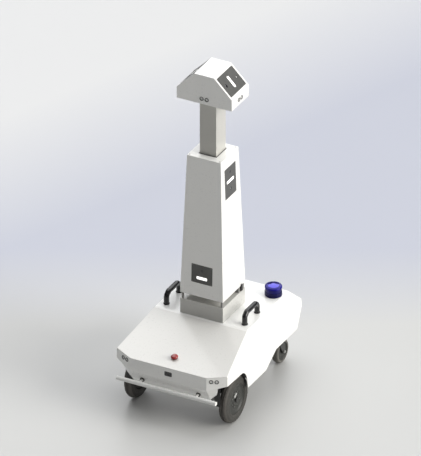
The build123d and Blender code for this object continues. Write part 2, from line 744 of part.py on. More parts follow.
ESTOP_TRAVEL = 4.0
MUSHROOM_Z = COLLAR_H + ESTOP_TRAVEL + 1
RIM_H = 4.0
STEM_FOOT = BARREL_DEPTH - 2
DOME_R = 27.5               # the dome's edge is at 4/5 of its radius from the axis, and 3/5 of it up
DOME_START = degrees(asin(0.6))
ESTOP_SIDE = Plane(
    origin=ESTOP_SPOT.origin,
    x_dir=(1, 0, 0),
    z_dir=Vector(1, 0, 0).cross(ESTOP_SPOT.z_dir),
)
with BuildPart() as estop_button:
    with BuildSketch(ESTOP_SIDE):
        with BuildLine():
            Polyline(
                (0, -STEM_FOOT),
                (STEM_R - RUN, -STEM_FOOT),
                (STEM_R - RUN, MUSHROOM_Z),
                (DOME_R * 0.8 - 3, MUSHROOM_Z),
                (DOME_R * 0.8, MUSHROOM_Z + RIM_H),
            )
            CenterArc(
                center=(0, MUSHROOM_Z + RIM_H - DOME_R * 0.6),
                radius=DOME_R,
                start_angle=DOME_START,
                arc_size=90 - DOME_START,
            )
            Line((0, MUSHROOM_Z + RIM_H + DOME_R * 0.4), (0, -STEM_FOOT))
        make_face()
    revolve(axis=Axis(ESTOP_SPOT.origin, ESTOP_SPOT.z_dir))
save(estop_button.part, "estop_button")


# ---------------------------------------------------------------- sensors on the chassis
EYE_PROUD = 2.0
EYE_RIM = 3.5
EYE_SINK = 3.0              # the membrane behind the rim


def eye_cans(spots, depth):
    """Ultrasonic sensors: a can with a raised rim round a set-back membrane."""
    with BuildPart() as cans:
        for spot in spots:
            with BuildSketch(spot.offset(EYE_PROUD)):
                Circle(EYE_R)
            extrude(amount=-(depth + EYE_PROUD))
            with BuildSketch(spot.offset(EYE_PROUD)):
                Circle(EYE_R - EYE_RIM)
            extrude(amount=-EYE_SINK, mode=Mode.SUBTRACT)
    return cans.part


with BuildPart() as corner_sonars:
    add(eye_cans(CORNER_EYES, SKIN + 10))
save(corner_sonars.part, "corner_sonars")

CAMERA_DEPTH = 24.0
CAMERA_EYE_PITCH = 14.0
CAMERA_EYE_R = 5.0
with BuildPart() as depth_camera:
    with BuildSketch(CAMERA_SPOT):
        RectangleRounded(CAMERA_W, CAMERA_H, CAMERA_CORNER)
    extrude(amount=-CAMERA_DEPTH)
    with BuildSketch(CAMERA_SPOT):
        with GridLocations(CAMERA_EYE_PITCH, 0, 3, 1):
            Circle(CAMERA_EYE_R)
    extrude(amount=-2, mode=Mode.SUBTRACT)
save(depth_camera.part, "depth_camera")

# ---------------------------------------------------------------- lidar puck
PUCK = Plane(origin=(LIDAR_X, LIDAR_Y, DECK_Z))
PUCK_WALL = 3.0
PUCK_FLOOR = 5.0
SCREW_LENGTH = PUCK_FLOOR + SKIN + 6
SCREW_HEAD = (4.0, 3.0)
CAP_Z = LIDAR_BASE_H + LIDAR_WINDOW_H
WINDOW_R = LIDAR_R - 3.0
MOTOR_R = 14.0
SHAFT_R = 3.0
MOTOR_TOP = 21.0            # heights above the deck
SHAFT_TOP = 47.0
with BuildPart() as lidar_base:
    with BuildSketch(PUCK):
        Circle(LIDAR_R)
    extrude(amount=LIDAR_BASE_H)
    fillet(lidar_base.edges().group_by(Axis.Z)[0], radius=2)
    with BuildSketch(PUCK.offset(PUCK_FLOOR)):
        Circle(LIDAR_R - PUCK_FLOOR)
    extrude(amount=LIDAR_BASE_H, mode=Mode.SUBTRACT)
    with Locations(PUCK.offset(PUCK_FLOOR)):
        with PolarLocations(LIDAR_SCREW_RING, 3):
            Hole(radius=LIDAR_SCREW_R, depth=PUCK_FLOOR)
save(lidar_base.part, "lidar_base")

with BuildPart() as lidar_screws:
    with Locations(PUCK.offset(PUCK_FLOOR)):
        with PolarLocations(LIDAR_SCREW_RING, 3):
            Cylinder(LIDAR_SCREW_R - RUN, SCREW_LENGTH, align=(Align.CENTER, Align.CENTER, Align.MAX))
            Cylinder(*SCREW_HEAD, align=(Align.CENTER, Align.CENTER, Align.MIN))
save(lidar_screws.part, "lidar_screws")

with BuildPart() as lidar_window:
    with BuildSketch(PUCK.offset(LIDAR_BASE_H)):
        Circle(WINDOW_R)
        Circle(WINDOW_R - PUCK_WALL, mode=Mode.SUBTRACT)
    extrude(amount=LIDAR_WINDOW_H)
save(lidar_window.part, "lidar_window")

with BuildPart() as lidar_cap:
    with BuildSketch(PUCK.offset(CAP_Z)):
        Circle(LIDAR_R)
    extrude(amount=LIDAR_CAP_H)
    fillet(lidar_cap.edges().group_by(Axis.Z)[-1], radius=9)
    with BuildSketch(PUCK.offset(CAP_Z)):
        Circle(WINDOW_R - PUCK_WALL)
    extrude(amount=LIDAR_CAP_H - 4, mode=Mode.SUBTRACT)
save(lidar_cap.part, "lidar_cap")

with BuildPart() as lidar_motor:
    with BuildSketch(PUCK.offset(PUCK_FLOOR)):
        Circle(MOTOR_R)
    extrude(amount=MOTOR_TOP - PUCK_FLOOR)
    with BuildSketch(PUCK.offset(MOTOR_TOP)):
        Circle(SHAFT_R)
    extrude(amount=SHAFT_TOP - MOTOR_TOP)
save(lidar_motor.part, "lidar_motor")

ROTOR_R = 36.0
ROTOR_T = 4.0
SPINDLE = (9.0, 18.0)       # radius and height
OPTIC = (16.0, 36.0)        # emitter and receiver housings
OPTIC_SPOTS = ((-19.0, 6.0), (19.0, 6.0))
OPTIC_H = 20.0
ROTOR_Z = MOTOR_TOP + GAP
with BuildPart() as lidar_rotor:
    with BuildSketch(PUCK.offset(ROTOR_Z)):
        Circle(ROTOR_R)
        Circle(SHAFT_R + RUN, mode=Mode.SUBTRACT)
    extrude(amount=ROTOR_T)
    with BuildSketch(PUCK.offset(ROTOR_Z + ROTOR_T)):
        Circle(SPINDLE[0])
        Circle(SHAFT_R + RUN, mode=Mode.SUBTRACT)
    extrude(amount=SPINDLE[1])
    with BuildSketch(PUCK.offset(ROTOR_Z + ROTOR_T)):
        with Locations(*OPTIC_SPOTS):
            RectangleRounded(*OPTIC, 2)
    extrude(amount=OPTIC_H)
save(lidar_rotor.part, "lidar_rotor")

# ---------------------------------------------------------------- plinth and tower
TOWER_FLOOR = 8.0
TOWER_H = TOWER_TOP_Z - TOWER_Z


def tower_half(z):
    """Half width of the tower at a height above the floor."""
    return PLINTH_HALF + (TOWER_TOP_HALF - PLINTH_HALF) * (z - TOWER_Z) / TOWER_H


def square(half):
    """A square outline about the tower's axis, from its half width."""
    with BuildSketch() as outline:
        Rectangle(2 * half, 2 * half)
    return outline.sketch


def tower_plane(z):
    """Level plane centred on the tower's axis."""
    return Plane(origin=(0, TOWER_Y, z))


with BuildPart() as plinth:
    with BuildSketch(tower_plane(DECK_Z)):
        add(square(PLINTH_HALF))
    extrude(amount=PLINTH_Z - DECK_Z)
    with BuildSketch(tower_plane(DECK_Z)):
        add(square(PLINTH_HALF - TOWER_WALL))
    extrude(amount=PLINTH_Z - DECK_Z - TOWER_WALL, mode=Mode.SUBTRACT)
save(plinth.part, "plinth")

POST = 12.0
POST_INSET = 6.0            # of the front posts, from the plinth's edges
BLOCK_FRONT = 64.0          # front face of the rear bracket, behind the tower axis
BLOCK_INSET = 4.0
BLOCK_HALF = PLINTH_HALF - BLOCK_INSET
POST_SPOT = PLINTH_HALF - POST / 2 - POST_INSET
with BuildPart() as tower_standoffs:
    with BuildSketch(tower_plane(PLINTH_Z)):
        with Locations((-POST_SPOT, -POST_SPOT), (POST_SPOT, -POST_SPOT)):
            Rectangle(POST, POST)
        with Locations((0, (BLOCK_FRONT + BLOCK_HALF) / 2)):
            Rectangle(2 * BLOCK_HALF, BLOCK_HALF - BLOCK_FRONT)
    extrude(amount=TOWER_Z - PLINTH_Z)
save(tower_standoffs.part, "tower_standoffs")

LATCH_Y = (TOWER_Y + 80, TOWER_Y + 97)
LATCH_Z = (PLINTH_Z + 6, TOWER_Z + 9)
LATCH_OUT = PLINTH_HALF + 6
with BuildPart() as tower_latches:
    for side in (-1, 1):
        with BuildSketch(Plane.XZ.offset(-LATCH_Y[0])):
            with BuildLine():
                Polyline(
                    (side * BLOCK_HALF, LATCH_Z[0]),
                    (side * LATCH_OUT, LATCH_Z[0]),
                    (side * LATCH_OUT, LATCH_Z[1]),
                    (side * (PLINTH_HALF + GAP), LATCH_Z[1]),
                    (side * (PLINTH_HALF + GAP), TOWER_Z - 1),
                    (side * BLOCK_HALF, TOWER_Z - 1),
                    close=True,
                )
            make_face()
        extrude(amount=-(LATCH_Y[1] - LATCH_Y[0]))
save(tower_latches.part, "tower_latches")

TILT = (PLINTH_HALF - TOWER_TOP_HALF, TOWER_H)
TOWER_FRONT_Z = 786.0
TOWER_SIDE_Z = 1376.0
FRONT_MODULE = Plane(
    origin=(0, TOWER_Y - tower_half(TOWER_FRONT_Z), TOWER_FRONT_Z),
    x_dir=(1, 0, 0),
    z_dir=(0, -TILT[1], TILT[0]),
)
SIDE_MODULE = Plane(
    origin=(tower_half(TOWER_SIDE_Z), TOWER_Y, TOWER_SIDE_Z),
    x_dir=(0, 1, 0),
    z_dir=(TILT[1], 0, TILT[0]),
)
PLATE_T = 4.0
FRONT_PLATE = (137.0, 120.0)
SIDE_PLATE = (137.0, 197.0)
PLATE_CORNER = 5.0
CAP_UNDER_Z = TOWER_TOP_Z - TOWER_WALL
with BuildPart() as tower_shell:
    for z in (TOWER_Z, CAP_UNDER_Z):
        with BuildSketch(tower_plane(z)):
            add(square(tower_half(z)))
    loft()
    for z in (TOWER_Z + TOWER_FLOOR, CAP_UNDER_Z):
        with BuildSketch(tower_plane(z)):
            add(square(tower_half(z) - TOWER_WALL))
    loft(mode=Mode.SUBTRACT)
    # module cut-outs through the wall
    for module, plate in ((FRONT_MODULE, FRONT_PLATE), (SIDE_MODULE, SIDE_PLATE)):
        with BuildSketch(module.offset(TOWER_WALL)):
            RectangleRounded(*plate, PLATE_CORNER)
        extrude(amount=-3 * TOWER_WALL, mode=Mode.SUBTRACT)
save(tower_shell.part, "tower_shell")

with BuildPart() as tower_cap:
    for z in (CAP_UNDER_Z, TOWER_TOP_Z):
        with BuildSketch(tower_plane(z)):
            add(square(tower_half(z)))
            Rectangle(2 * (MAST_X + GAP), 2 * (MAST_Y + GAP), mode=Mode.SUBTRACT)
    loft()
save(tower_cap.part, "tower_cap")


# ---------------------------------------------------------------- camera and light modules
def module_plate(spot, size, lenses, slot_spot, slot_size):
    """Dark plate, flush with the wall, with holes for its lenses (x, y, radius) and its light slot."""
    with BuildPart() as plate:
        with BuildSketch(spot):
            RectangleRounded(*size, PLATE_CORNER)
            for x, y, radius in lenses:
                with Locations((x, y)):
                    Circle(radius, mode=Mode.SUBTRACT)
            with Locations(slot_spot):
                RectangleRounded(*slot_size, SLOT_CORNER, mode=Mode.SUBTRACT)
        extrude(amount=-PLATE_T)
    return plate.part


def module_lenses(spot, lenses):
    """Lens barrels behind the plate, each with a shallow dished front."""
    with BuildPart() as barrels:
        for x, y, radius in lenses:
            with BuildSketch(spot):
                with Locations((x, y)):
                    Circle(radius)
            extrude(amount=-BARREL)
            with BuildSketch(spot):
                with Locations((x, y)):
                    Circle(radius - LENS_RIM)
            extrude(amount=-LENS_SINK, mode=Mode.SUBTRACT)
    return barrels.part


def module_light(spot, slot_spot, slot_size):
    """Light bar that fills the slot."""
    with BuildPart() as bar:
        with BuildSketch(spot.offset(-LIGHT_SINK)):
            with Locations(slot_spot):
                RectangleRounded(*slot_size, SLOT_CORNER)
        extrude(amount=-LIGHT_DEPTH)
    return bar.part


SLOT_CORNER = 5.0
BARREL = 22.0
LENS_RIM = 1.5
LENS_SINK = 2.0
LIGHT_SINK = 0.5
LIGHT_DEPTH = 11.5
FRONT_LENSES = [(0, 24, 8.5)]
SIDE_LENSES = [(0, 60, 8.5), (0, -50, 12)]
FRONT_SLOT = ((0, -26), (68, 18))
SIDE_SLOT = ((0, 4), (84, 18))
save(module_plate(FRONT_MODULE, FRONT_PLATE, FRONT_LENSES, *FRONT_SLOT), "tower_front_plate")
save(module_plate(SIDE_MODULE, SIDE_PLATE, SIDE_LENSES, *SIDE_SLOT), "tower_side_plate")
with BuildPart() as tower_lenses:
    add(module_lenses(FRONT_MODULE, FRONT_LENSES))
    add(module_lenses(SIDE_MODULE, SIDE_LENSES))
save(tower_lenses.part, "tower_lenses")
with BuildPart() as tower_lights:
    add(module_light(FRONT_MODULE, *FRONT_SLOT))
    add(module_light(SIDE_MODULE, *SIDE_SLOT))
save(tower_lights.part, "tower_lights")

# ---------------------------------------------------------------- mast
HEAD_FLOOR = 6.0
MAST_CORE = (2 * (MAST_X - MAST_WALL), 2 * (MAST_Y - MAST_WALL))
with BuildPart() as mast:
    with BuildSketch(tower_plane(MAST_FOOT_Z)):
        Rectangle(2 * MAST_X, 2 * MAST_Y)
        Rectangle(*MAST_CORE, mode=Mode.SUBTRACT)
    extrude(amount=HEAD_Z - MAST_FOOT_Z)
save(mast.part, "mast")

COLUMN_R = 22.0
COLUMN_H = 620.0
GEARBOX = (110.0, 110.0)
GEARBOX_H = 40.0
GEARBOX_Z = TOWER_Z + TOWER_FLOOR
with BuildPart() as lift_column:
    with BuildSketch(tower_plane(GEARBOX_Z)):
        RectangleRounded(*GEARBOX, BOX_CORNER)
    extrude(amount=GEARBOX_H)
    with BuildSketch(tower_plane(GEARBOX_Z + GEARBOX_H)):
        Circle(COLUMN_R)
    extrude(amount=COLUMN_H)
save(lift_column.part, "lift_column")

NUT_RISE = 20.0             # above the mast's foot
NUT_H = 30.0
with BuildPart() as lift_nut:
    with BuildSketch(tower_plane(MAST_FOOT_Z + NUT_RISE)):
        Rectangle(*MAST_CORE)
        Circle(COLUMN_R + RUN, mode=Mode.SUBTRACT)
    extrude(amount=NUT_H)
save(lift_nut.part, "lift_nut")

# ---------------------------------------------------------------- head
MITRE = tan(radians(22.5))   # how an inset moves the corners between flat and 45-degree faces
HEAD_SLOPE = (HEAD_X - HEAD_TOP_X, HEAD_TOP_Z - HEAD_WALL_Z)


def head_profile(shrink):
    """House-shaped outline, X across and Z up, drawn in by the wall for the hollow."""
    rise = shrink * MITRE
    with BuildSketch() as profile:
        with BuildLine():
            Polyline(
                (-HEAD_X + shrink, HEAD_Z),
                (HEAD_X - shrink, HEAD_Z),
                (HEAD_X - shrink, HEAD_WALL_Z - rise),
                (HEAD_TOP_X - rise, HEAD_TOP_Z - shrink),
                (-HEAD_TOP_X + rise, HEAD_TOP_Z - shrink),
                (-HEAD_X + shrink, HEAD_WALL_Z - rise),
                close=True,
            )
        make_face()
    return profile.sketch


HEAD_PLATE = (187.0, 136.0)
HEAD_MODULES = [
    Plane(
        origin=(side * (HEAD_X + HEAD_TOP_X) / 2, TOWER_Y, (HEAD_WALL_Z + HEAD_TOP_Z) / 2),
        x_dir=(0, 1, 0),
        z_dir=(side * HEAD_SLOPE[1], 0, HEAD_SLOPE[0]),
    )
    for side in (-1, 1)
]
SONAR_RISE = 34.0           # of the head's sensors above its underside
SONAR_Z = HEAD_Z + SONAR_RISE
HEAD_EYES = [
    *(
        Plane(origin=(x, TOWER_Y - HEAD_Y, SONAR_Z), z_dir=(0, -1, 0))
        for x in (-EYE_PITCH / 2, EYE_PITCH / 2)
    ),
    *(
        Plane(origin=(side * HEAD_X, TOWER_Y + y, SONAR_Z), z_dir=(side, 0, 0))
        for side in (-1, 1)
        for y in (-EYE_PITCH / 2, EYE_PITCH / 2)
    ),
]
with BuildPart() as head_shell:
    with BuildSketch(Plane.XZ.offset(HEAD_Y - TOWER_Y)):
        add(head_profile(0))
    extrude(amount=-2 * HEAD_Y)
    with BuildSketch(Plane.XZ.offset(HEAD_Y - TOWER_Y - HEAD_WALL)):
        add(head_profile(HEAD_WALL))
    extrude(amount=-2 * (HEAD_Y - HEAD_WALL), mode=Mode.SUBTRACT)
    for module in HEAD_MODULES:
        with BuildSketch(module):
            RectangleRounded(*HEAD_PLATE, PLATE_CORNER)
        extrude(amount=-2 * HEAD_WALL, mode=Mode.SUBTRACT)
    for eye in HEAD_EYES:
        with BuildSketch(eye):
            Circle(EYE_R)
        extrude(amount=-2 * HEAD_WALL, mode=Mode.SUBTRACT)
save(head_shell.part, "head_shell")

with BuildPart() as head_base:
    with BuildSketch(tower_plane(HEAD_Z)):
        Rectangle(2 * (HEAD_X - HEAD_WALL), 2 * (HEAD_Y - HEAD_WALL))
    extrude(amount=HEAD_FLOOR)
save(head_base.part, "head_base")

HEAD_LENSES = [(-62, 0, 11), (62, 0, 6.5)]
HEAD_SLOT = ((0, 0), (17, 76))
with BuildPart() as head_plates:
    for module in HEAD_MODULES:
        add(module_plate(module, HEAD_PLATE, HEAD_LENSES, *HEAD_SLOT))
save(head_plates.part, "head_plates")
with BuildPart() as head_lenses:
    for module in HEAD_MODULES:
        add(module_lenses(module, HEAD_LENSES))
save(head_lenses.part, "head_lenses")
with BuildPart() as head_lights:
    for module in HEAD_MODULES:
        add(module_light(module, *HEAD_SLOT))
save(head_lights.part, "head_lights")
SONAR_DEPTH = HEAD_WALL + 8
with BuildPart() as head_sonars:
    add(eye_cans(HEAD_EYES, SONAR_DEPTH))
save(head_sonars.part, "head_sonars")
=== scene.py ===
"""Looks of the wheeled scanning robot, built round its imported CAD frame. Metres, +Z up, front faces -Y."""

import json
from math import cos, pi, radians, sin

import bmesh
import bpy
import numpy
from mathutils import Matrix, Vector
from mathutils.bvhtree import BVHTree


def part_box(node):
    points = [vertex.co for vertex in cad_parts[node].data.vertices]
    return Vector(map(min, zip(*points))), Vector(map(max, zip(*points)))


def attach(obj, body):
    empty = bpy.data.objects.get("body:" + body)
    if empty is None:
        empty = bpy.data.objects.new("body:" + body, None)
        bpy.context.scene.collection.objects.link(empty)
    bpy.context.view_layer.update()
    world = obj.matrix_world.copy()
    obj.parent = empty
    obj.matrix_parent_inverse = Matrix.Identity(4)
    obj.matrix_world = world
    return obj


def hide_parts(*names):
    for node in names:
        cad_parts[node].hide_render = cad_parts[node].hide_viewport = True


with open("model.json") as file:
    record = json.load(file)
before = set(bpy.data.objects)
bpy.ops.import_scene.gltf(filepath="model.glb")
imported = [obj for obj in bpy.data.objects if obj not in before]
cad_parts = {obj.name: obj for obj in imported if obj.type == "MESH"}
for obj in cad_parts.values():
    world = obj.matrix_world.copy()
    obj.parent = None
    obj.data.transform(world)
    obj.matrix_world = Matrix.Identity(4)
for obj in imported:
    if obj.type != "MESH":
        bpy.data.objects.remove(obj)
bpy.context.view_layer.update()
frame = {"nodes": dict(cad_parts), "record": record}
NODES = frame["nodes"]
BEHAVIOUR = frame["record"]["behaviour"]
BODY_OF = {node: body for body, nodes in BEHAVIOUR["bodies"].items() for node in nodes}
MM = 0.001
DECK_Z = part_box("deck_cover")[1][2]
TOWER_Y = (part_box("plinth")[0][1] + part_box("plinth")[1][1]) / 2

# ---------------------------------------------------------------- camera
AZIMUTH = radians(27.7)
ELEVATION = radians(30.0)
LENS = 1250.0                               # long enough for a nearly parallel view
SENSOR_SIZE = 36.0                          # spans the picture's taller side
VIEW_HEIGHT = 2.64501                       # metres from the picture's bottom to its top
DISTANCE = LENS * VIEW_HEIGHT / SENSOR_SIZE
AIM = Vector((0.0, TOWER_Y, DECK_Z))        # tower axis at deck level
CENTRE_LEFT = 0.0128                        # how far the picture's centre is left of that point
CENTRE_UP = 0.458                           # and above it

back = Vector((sin(AZIMUTH) * cos(ELEVATION), -cos(AZIMUTH) * cos(ELEVATION), sin(ELEVATION)))
right = Vector((cos(AZIMUTH), sin(AZIMUTH), 0.0))
up = back.cross(right)
camera = bpy.data.objects.new("camera", bpy.data.cameras.new("camera"))
bpy.context.collection.objects.link(camera)
camera.data.lens = LENS
camera.data.sensor_width = SENSOR_SIZE
camera.data.clip_end = 2 * DISTANCE
camera.location = AIM - right * CENTRE_LEFT + up * CENTRE_UP + back * DISTANCE
camera.rotation_mode = "QUATERNION"
camera.rotation_quaternion = (-back).to_track_quat("-Z", "Y")
bpy.context.scene.camera = camera
bpy.context.scene.view_settings.view_transform = "Standard"


# ---------------------------------------------------------------- material building blocks
class Nodes:
    """A material's node tree, with short calls for the nodes that the finishes share."""

    def __init__(self, name):
        self.material = bpy.data.materials.new(name)
        self.material.use_nodes = True
        self.tree = self.material.node_tree
        self.shader = self.tree.nodes["Principled BSDF"]
        self.place = self.tree.nodes.new("ShaderNodeTexCoord").outputs["Object"]

    def node(self, kind, links=None, **values):
        """New node; a value goes to the input of that name, or else to the node's own setting."""
        made = self.tree.nodes.new(kind)
        for key, value in values.items():
            if key in made.inputs:
                made.inputs[key].default_value = value
            else:
                setattr(made, key, value)
        for key, socket in (links or {}).items():
            self.tree.links.new(socket, made.inputs[key])
        return made

    def noise(self, scale, detail=4.0, roughness=0.55, stretch=None):
        """Noise in the object's own space, stretched where the scale along an axis is low."""
        place = self.place
        if stretch:
            place = self.node("ShaderNodeMapping", {"Vector": place}, Scale=stretch).outputs[0]
        made = self.node(
            "ShaderNodeTexNoise", {"Vector": place}, Scale=scale, Detail=detail, Roughness=roughness
        )
        return made.outputs["Fac"]

    def spread(self, value, low, high, from_low=0.3, from_high=0.7):
        """A value between from_low and from_high, spread over low to high."""
        made = self.node("ShaderNodeMapRange", {"Value": value})
        made.inputs["From Min"].default_value = from_low
        made.inputs["From Max"].default_value = from_high
        made.inputs["To Min"].default_value = low
        made.inputs["To Max"].default_value = high
        return made.outputs["Result"]

    def mix(self, factor, first, second):
        """Colour between two colours; each is a tuple or a socket."""
        made = self.node("ShaderNodeMix", data_type="RGBA")
        self.tree.links.new(factor, made.inputs[0])
        for socket, value in ((made.inputs[6], first), (made.inputs[7], second)):
            if isinstance(value, tuple):
                socket.default_value = (*value, 1.0)
            else:
                self.tree.links.new(value, socket)
        return made.outputs[2]

    def bump(self, height, strength, depth):
        """Surface normal roughened by a height, at most this many metres deep."""
        made = self.node("ShaderNodeBump", {"Height": height}, Strength=strength, Distance=depth)
        return made.outputs["Normal"]

    def set(self, **values):
        """Put numbers and colours on the shader's own sockets, and link the rest to them."""
        for key, value in values.items():
            socket = self.shader.inputs[key.replace("_", " ")]
            if isinstance(value, (int, float)):
                socket.default_value = value
            elif isinstance(value, tuple):
                socket.default_value = (*value, 1.0)
            else:
                self.tree.links.new(value, socket)
        return self


def paint(name, colour, shade, rough=0.28, coat=0.5):
    """Sprayed paint: a slightly cloudy tone and faint orange peel."""
    made = Nodes(name)
    cloud = made.spread(made.noise(1.5, 1.0), 0.0, 1.0)
    tone = made.mix(cloud, colour, shade)
    surface = made.spread(made.noise(90.0, 2.0), rough * 0.97, rough * 1.03)
    peel = made.bump(made.noise(900.0, 1.0), 0.02, 0.1 * MM)
    return made.set(
        Base_Color=tone, Roughness=surface, Normal=peel, Coat_Weight=coat, Coat_Roughness=0.08, IOR=1.5
    ).material


def moulded(name, colour, shade, rough=0.5):
    """Moulded plastic with a fine spark-eroded grain."""
    made = Nodes(name)
    tone = made.mix(made.spread(made.noise(18.0), 0.0, 1.0), colour, shade)
    surface = made.spread(made.noise(110.0, 6.0), rough * 0.85, rough * 1.15)
    grain = made.bump(made.noise(1400.0, 3.0), 0.12, 0.3 * MM)
    return made.set(Base_Color=tone, Roughness=surface, Normal=grain).material


def glossy(name, colour, shade, rough=0.12, coat=1.0, metallic=0.0, tint=(1.0, 1.0, 1.0)):
    """Polished plastic with hairline wear; tint colours its reflections."""
    made = Nodes(name)
    tone = made.mix(made.spread(made.noise(25.0), 0.0, 1.0), colour, shade)
    hair = made.noise(240.0, 3.0, 0.6, (1.0, 1.0, 0.06))
    surface = made.spread(hair, rough * 0.7, rough * 1.6)
    skin = made.bump(hair, 0.02, 0.3 * MM)
    return made.set(
        Base_Color=tone, Roughness=surface, Normal=skin, Coat_Weight=coat, Coat_Roughness=0.04,
        Metallic=metallic, Specular_Tint=tint,
    ).material


def metal(name, colour, shade, rough, metallic=1.0):
    """Drawn or turned metal: fine lines along the object's X."""
    made = Nodes(name)
    lines = made.noise(40.0, 5.0, 0.6, (1.0, 60.0, 60.0))
    tone = made.mix(made.spread(lines, 0.0, 1.0), colour, shade)
    surface = made.spread(lines, rough * 0.75, rough * 1.3)
    skin = made.bump(lines, 0.05, 0.3 * MM)
    return made.set(Base_Color=tone, Roughness=surface, Normal=skin, Metallic=metallic).material


def rubber(name, colour, dust):
    """Rubber: pitted, with paler dust in clouds."""
    made = Nodes(name)
    tone = made.mix(made.spread(made.noise(14.0, 6.0, 0.65), 0.0, 1.0), colour, dust)
    surface = made.spread(made.noise(90.0, 4.0), 0.62, 0.85)
    pits = made.bump(made.noise(700.0, 4.0), 0.25, 0.5 * MM)
    return made.set(Base_Color=tone, Roughness=surface, Normal=pits).material


def lamp(name, colour, strength):
    """Frosted light bar with a soft, slightly uneven glow."""
    made = Nodes(name)
    glow = made.spread(made.noise(70.0, 3.0), strength * 0.92, strength * 1.06)
    dimmer = tuple(channel * 0.94 for channel in colour)
    tone = made.mix(made.spread(made.noise(300.0, 2.0), 0.0, 1.0), colour, dimmer)
    frost = made.bump(made.noise(1500.0, 2.0), 0.08, 0.2 * MM)
    return made.set(
        Base_Color=tone, Emission_Color=colour, Emission_Strength=glow, Roughness=0.45, Normal=frost
    ).material


# ---------------------------------------------------------------- materials
WHITE = paint("white_paint", (0.875, 0.87, 0.85), (0.867, 0.862, 0.842))
# painted shade: the plinth is the body's white, darkened to stand for the shade on its front
PLINTH_SHADED_WHITE = paint("plinth_paint_painted_shade", (0.56, 0.555, 0.53), (0.545, 0.54, 0.515))
# painted shade: the hood is the body's white, a little darker to stand for the dimmer light on its slope
HOOD_SHADED_WHITE = paint("hood_paint_painted_shade", (0.745, 0.735, 0.71), (0.735, 0.725, 0.70))
# painted shade: the mast's cream white, darkened to stand for the shade on its front
MAST_SHADED_WHITE = paint("mast_paint_painted_shade", (0.53, 0.52, 0.485), (0.515, 0.505, 0.47), 0.34, 0.2)
PLATE = moulded("module_plate", (0.090, 0.090, 0.086), (0.078, 0.078, 0.075), 0.42)
LENS_BLACK = glossy("lens_black", (0.012, 0.012, 0.014), (0.02, 0.02, 0.024), 0.06)
LIGHT = lamp("light_bar", (1.0, 1.0, 0.97), 1.2)
SENSOR = moulded("sensor_black", (0.05, 0.05, 0.05), (0.035, 0.035, 0.035), 0.45)
HANDLE = glossy("handle_black", (0.008, 0.008, 0.009), (0.012, 0.012, 0.013), 0.2, 0.15)
BLACK = moulded("black_plastic", (0.018, 0.018, 0.018), (0.028, 0.028, 0.027), 0.5)
GAITER = moulded("bumper_gaiter", (0.085, 0.085, 0.082), (0.070, 0.070, 0.068), 0.6)
# painted shade: grey standoffs, darkened to stand for the shade in the gap under the tower
POST_SHADED_GREY = paint("post_grey_painted_shade", (0.28, 0.278, 0.265), (0.25, 0.248, 0.238), 0.5, 0.1)
BLACK_METAL = paint("black_powder_coat", (0.022, 0.022, 0.022), (0.035, 0.035, 0.033), 0.5, 0.1)
BELLY = moulded("belly_grey", (0.10, 0.10, 0.098), (0.075, 0.075, 0.073), 0.55)
BAR = paint("bumper_metal", (0.80, 0.80, 0.78), (0.76, 0.76, 0.74), 0.35, 0.2)
STEEL = metal("bright_steel", (0.66, 0.66, 0.64), (0.56, 0.56, 0.54), 0.28)
TYRE = rubber("tyre_rubber", (0.085, 0.078, 0.070), (0.10, 0.093, 0.085))
# painted shade: the sidewall is the tread's rubber, darkened to stand for the shade in the wheel's recess
SHADED_SIDEWALL = rubber("tyre_sidewall_painted_shade", (0.040, 0.038, 0.034), (0.052, 0.050, 0.045))
CASTER_RUBBER = rubber("caster_rubber", (0.11, 0.105, 0.095), (0.15, 0.145, 0.13))
# painted shade: the hub grey is darkened to stand for the shade in the wheel's recess; the caster hubs share
# it
SHADED_HUB = moulded("hub_grey_painted_shade", (0.036, 0.037, 0.033), (0.030, 0.031, 0.028), 0.5)
BOLT = metal("bolt_steel", (0.30, 0.30, 0.29), (0.22, 0.22, 0.21), 0.38)
# painted highlight: pale metal for the hub tab, which stands for a glint on the hub
GLINT_METAL = metal("pale_metal_painted_glint", (0.50, 0.50, 0.49), (0.44, 0.44, 0.43), 0.4, 0.3)
MEMBRANE = moulded("sonar_membrane", (0.80, 0.80, 0.78), (0.72, 0.72, 0.70), 0.45)
LENS_GLASS = glossy("lens_glass", (0.008, 0.008, 0.010), (0.012, 0.012, 0.016), 0.04)
GREY_LENS = glossy("grey_lens", (0.16, 0.16, 0.155), (0.12, 0.12, 0.118), 0.10)
PALE_LENS = glossy("pale_lens", (0.62, 0.62, 0.60), (0.54, 0.54, 0.52), 0.12)
BLUE_TINT = (0.42, 0.38, 1.0)
LIDAR_BODY = glossy("lidar_navy", (0.006, 0.006, 0.045), (0.008, 0.008, 0.055), 0.26, 0.0, tint=BLUE_TINT)
LIDAR_WINDOW = glossy("lidar_window", (0.006, 0.006, 0.085), (0.008, 0.008, 0.10), 0.14, 0.0, tint=BLUE_TINT)
LIDAR_CAP = glossy("lidar_blue", (0.004, 0.003, 0.15), (0.005, 0.004, 0.18), 0.18, 0.0, tint=BLUE_TINT)
# partly painted highlight: a lighter metallic blue for the cap's middle, which brightens the highlight band
LIDAR_HIGHLIGHT_DISC = glossy("lidar_highlight_disc", (0.095, 0.085, 0.42), (0.105, 0.094, 0.46), 0.13, 0.0, 0.85)
RED = glossy("estop_red", (0.33, 0.012, 0.010), (0.27, 0.010, 0.008), 0.3)
INNER = moulded("inner_dark", (0.06, 0.062, 0.06), (0.045, 0.045, 0.044), 0.6)

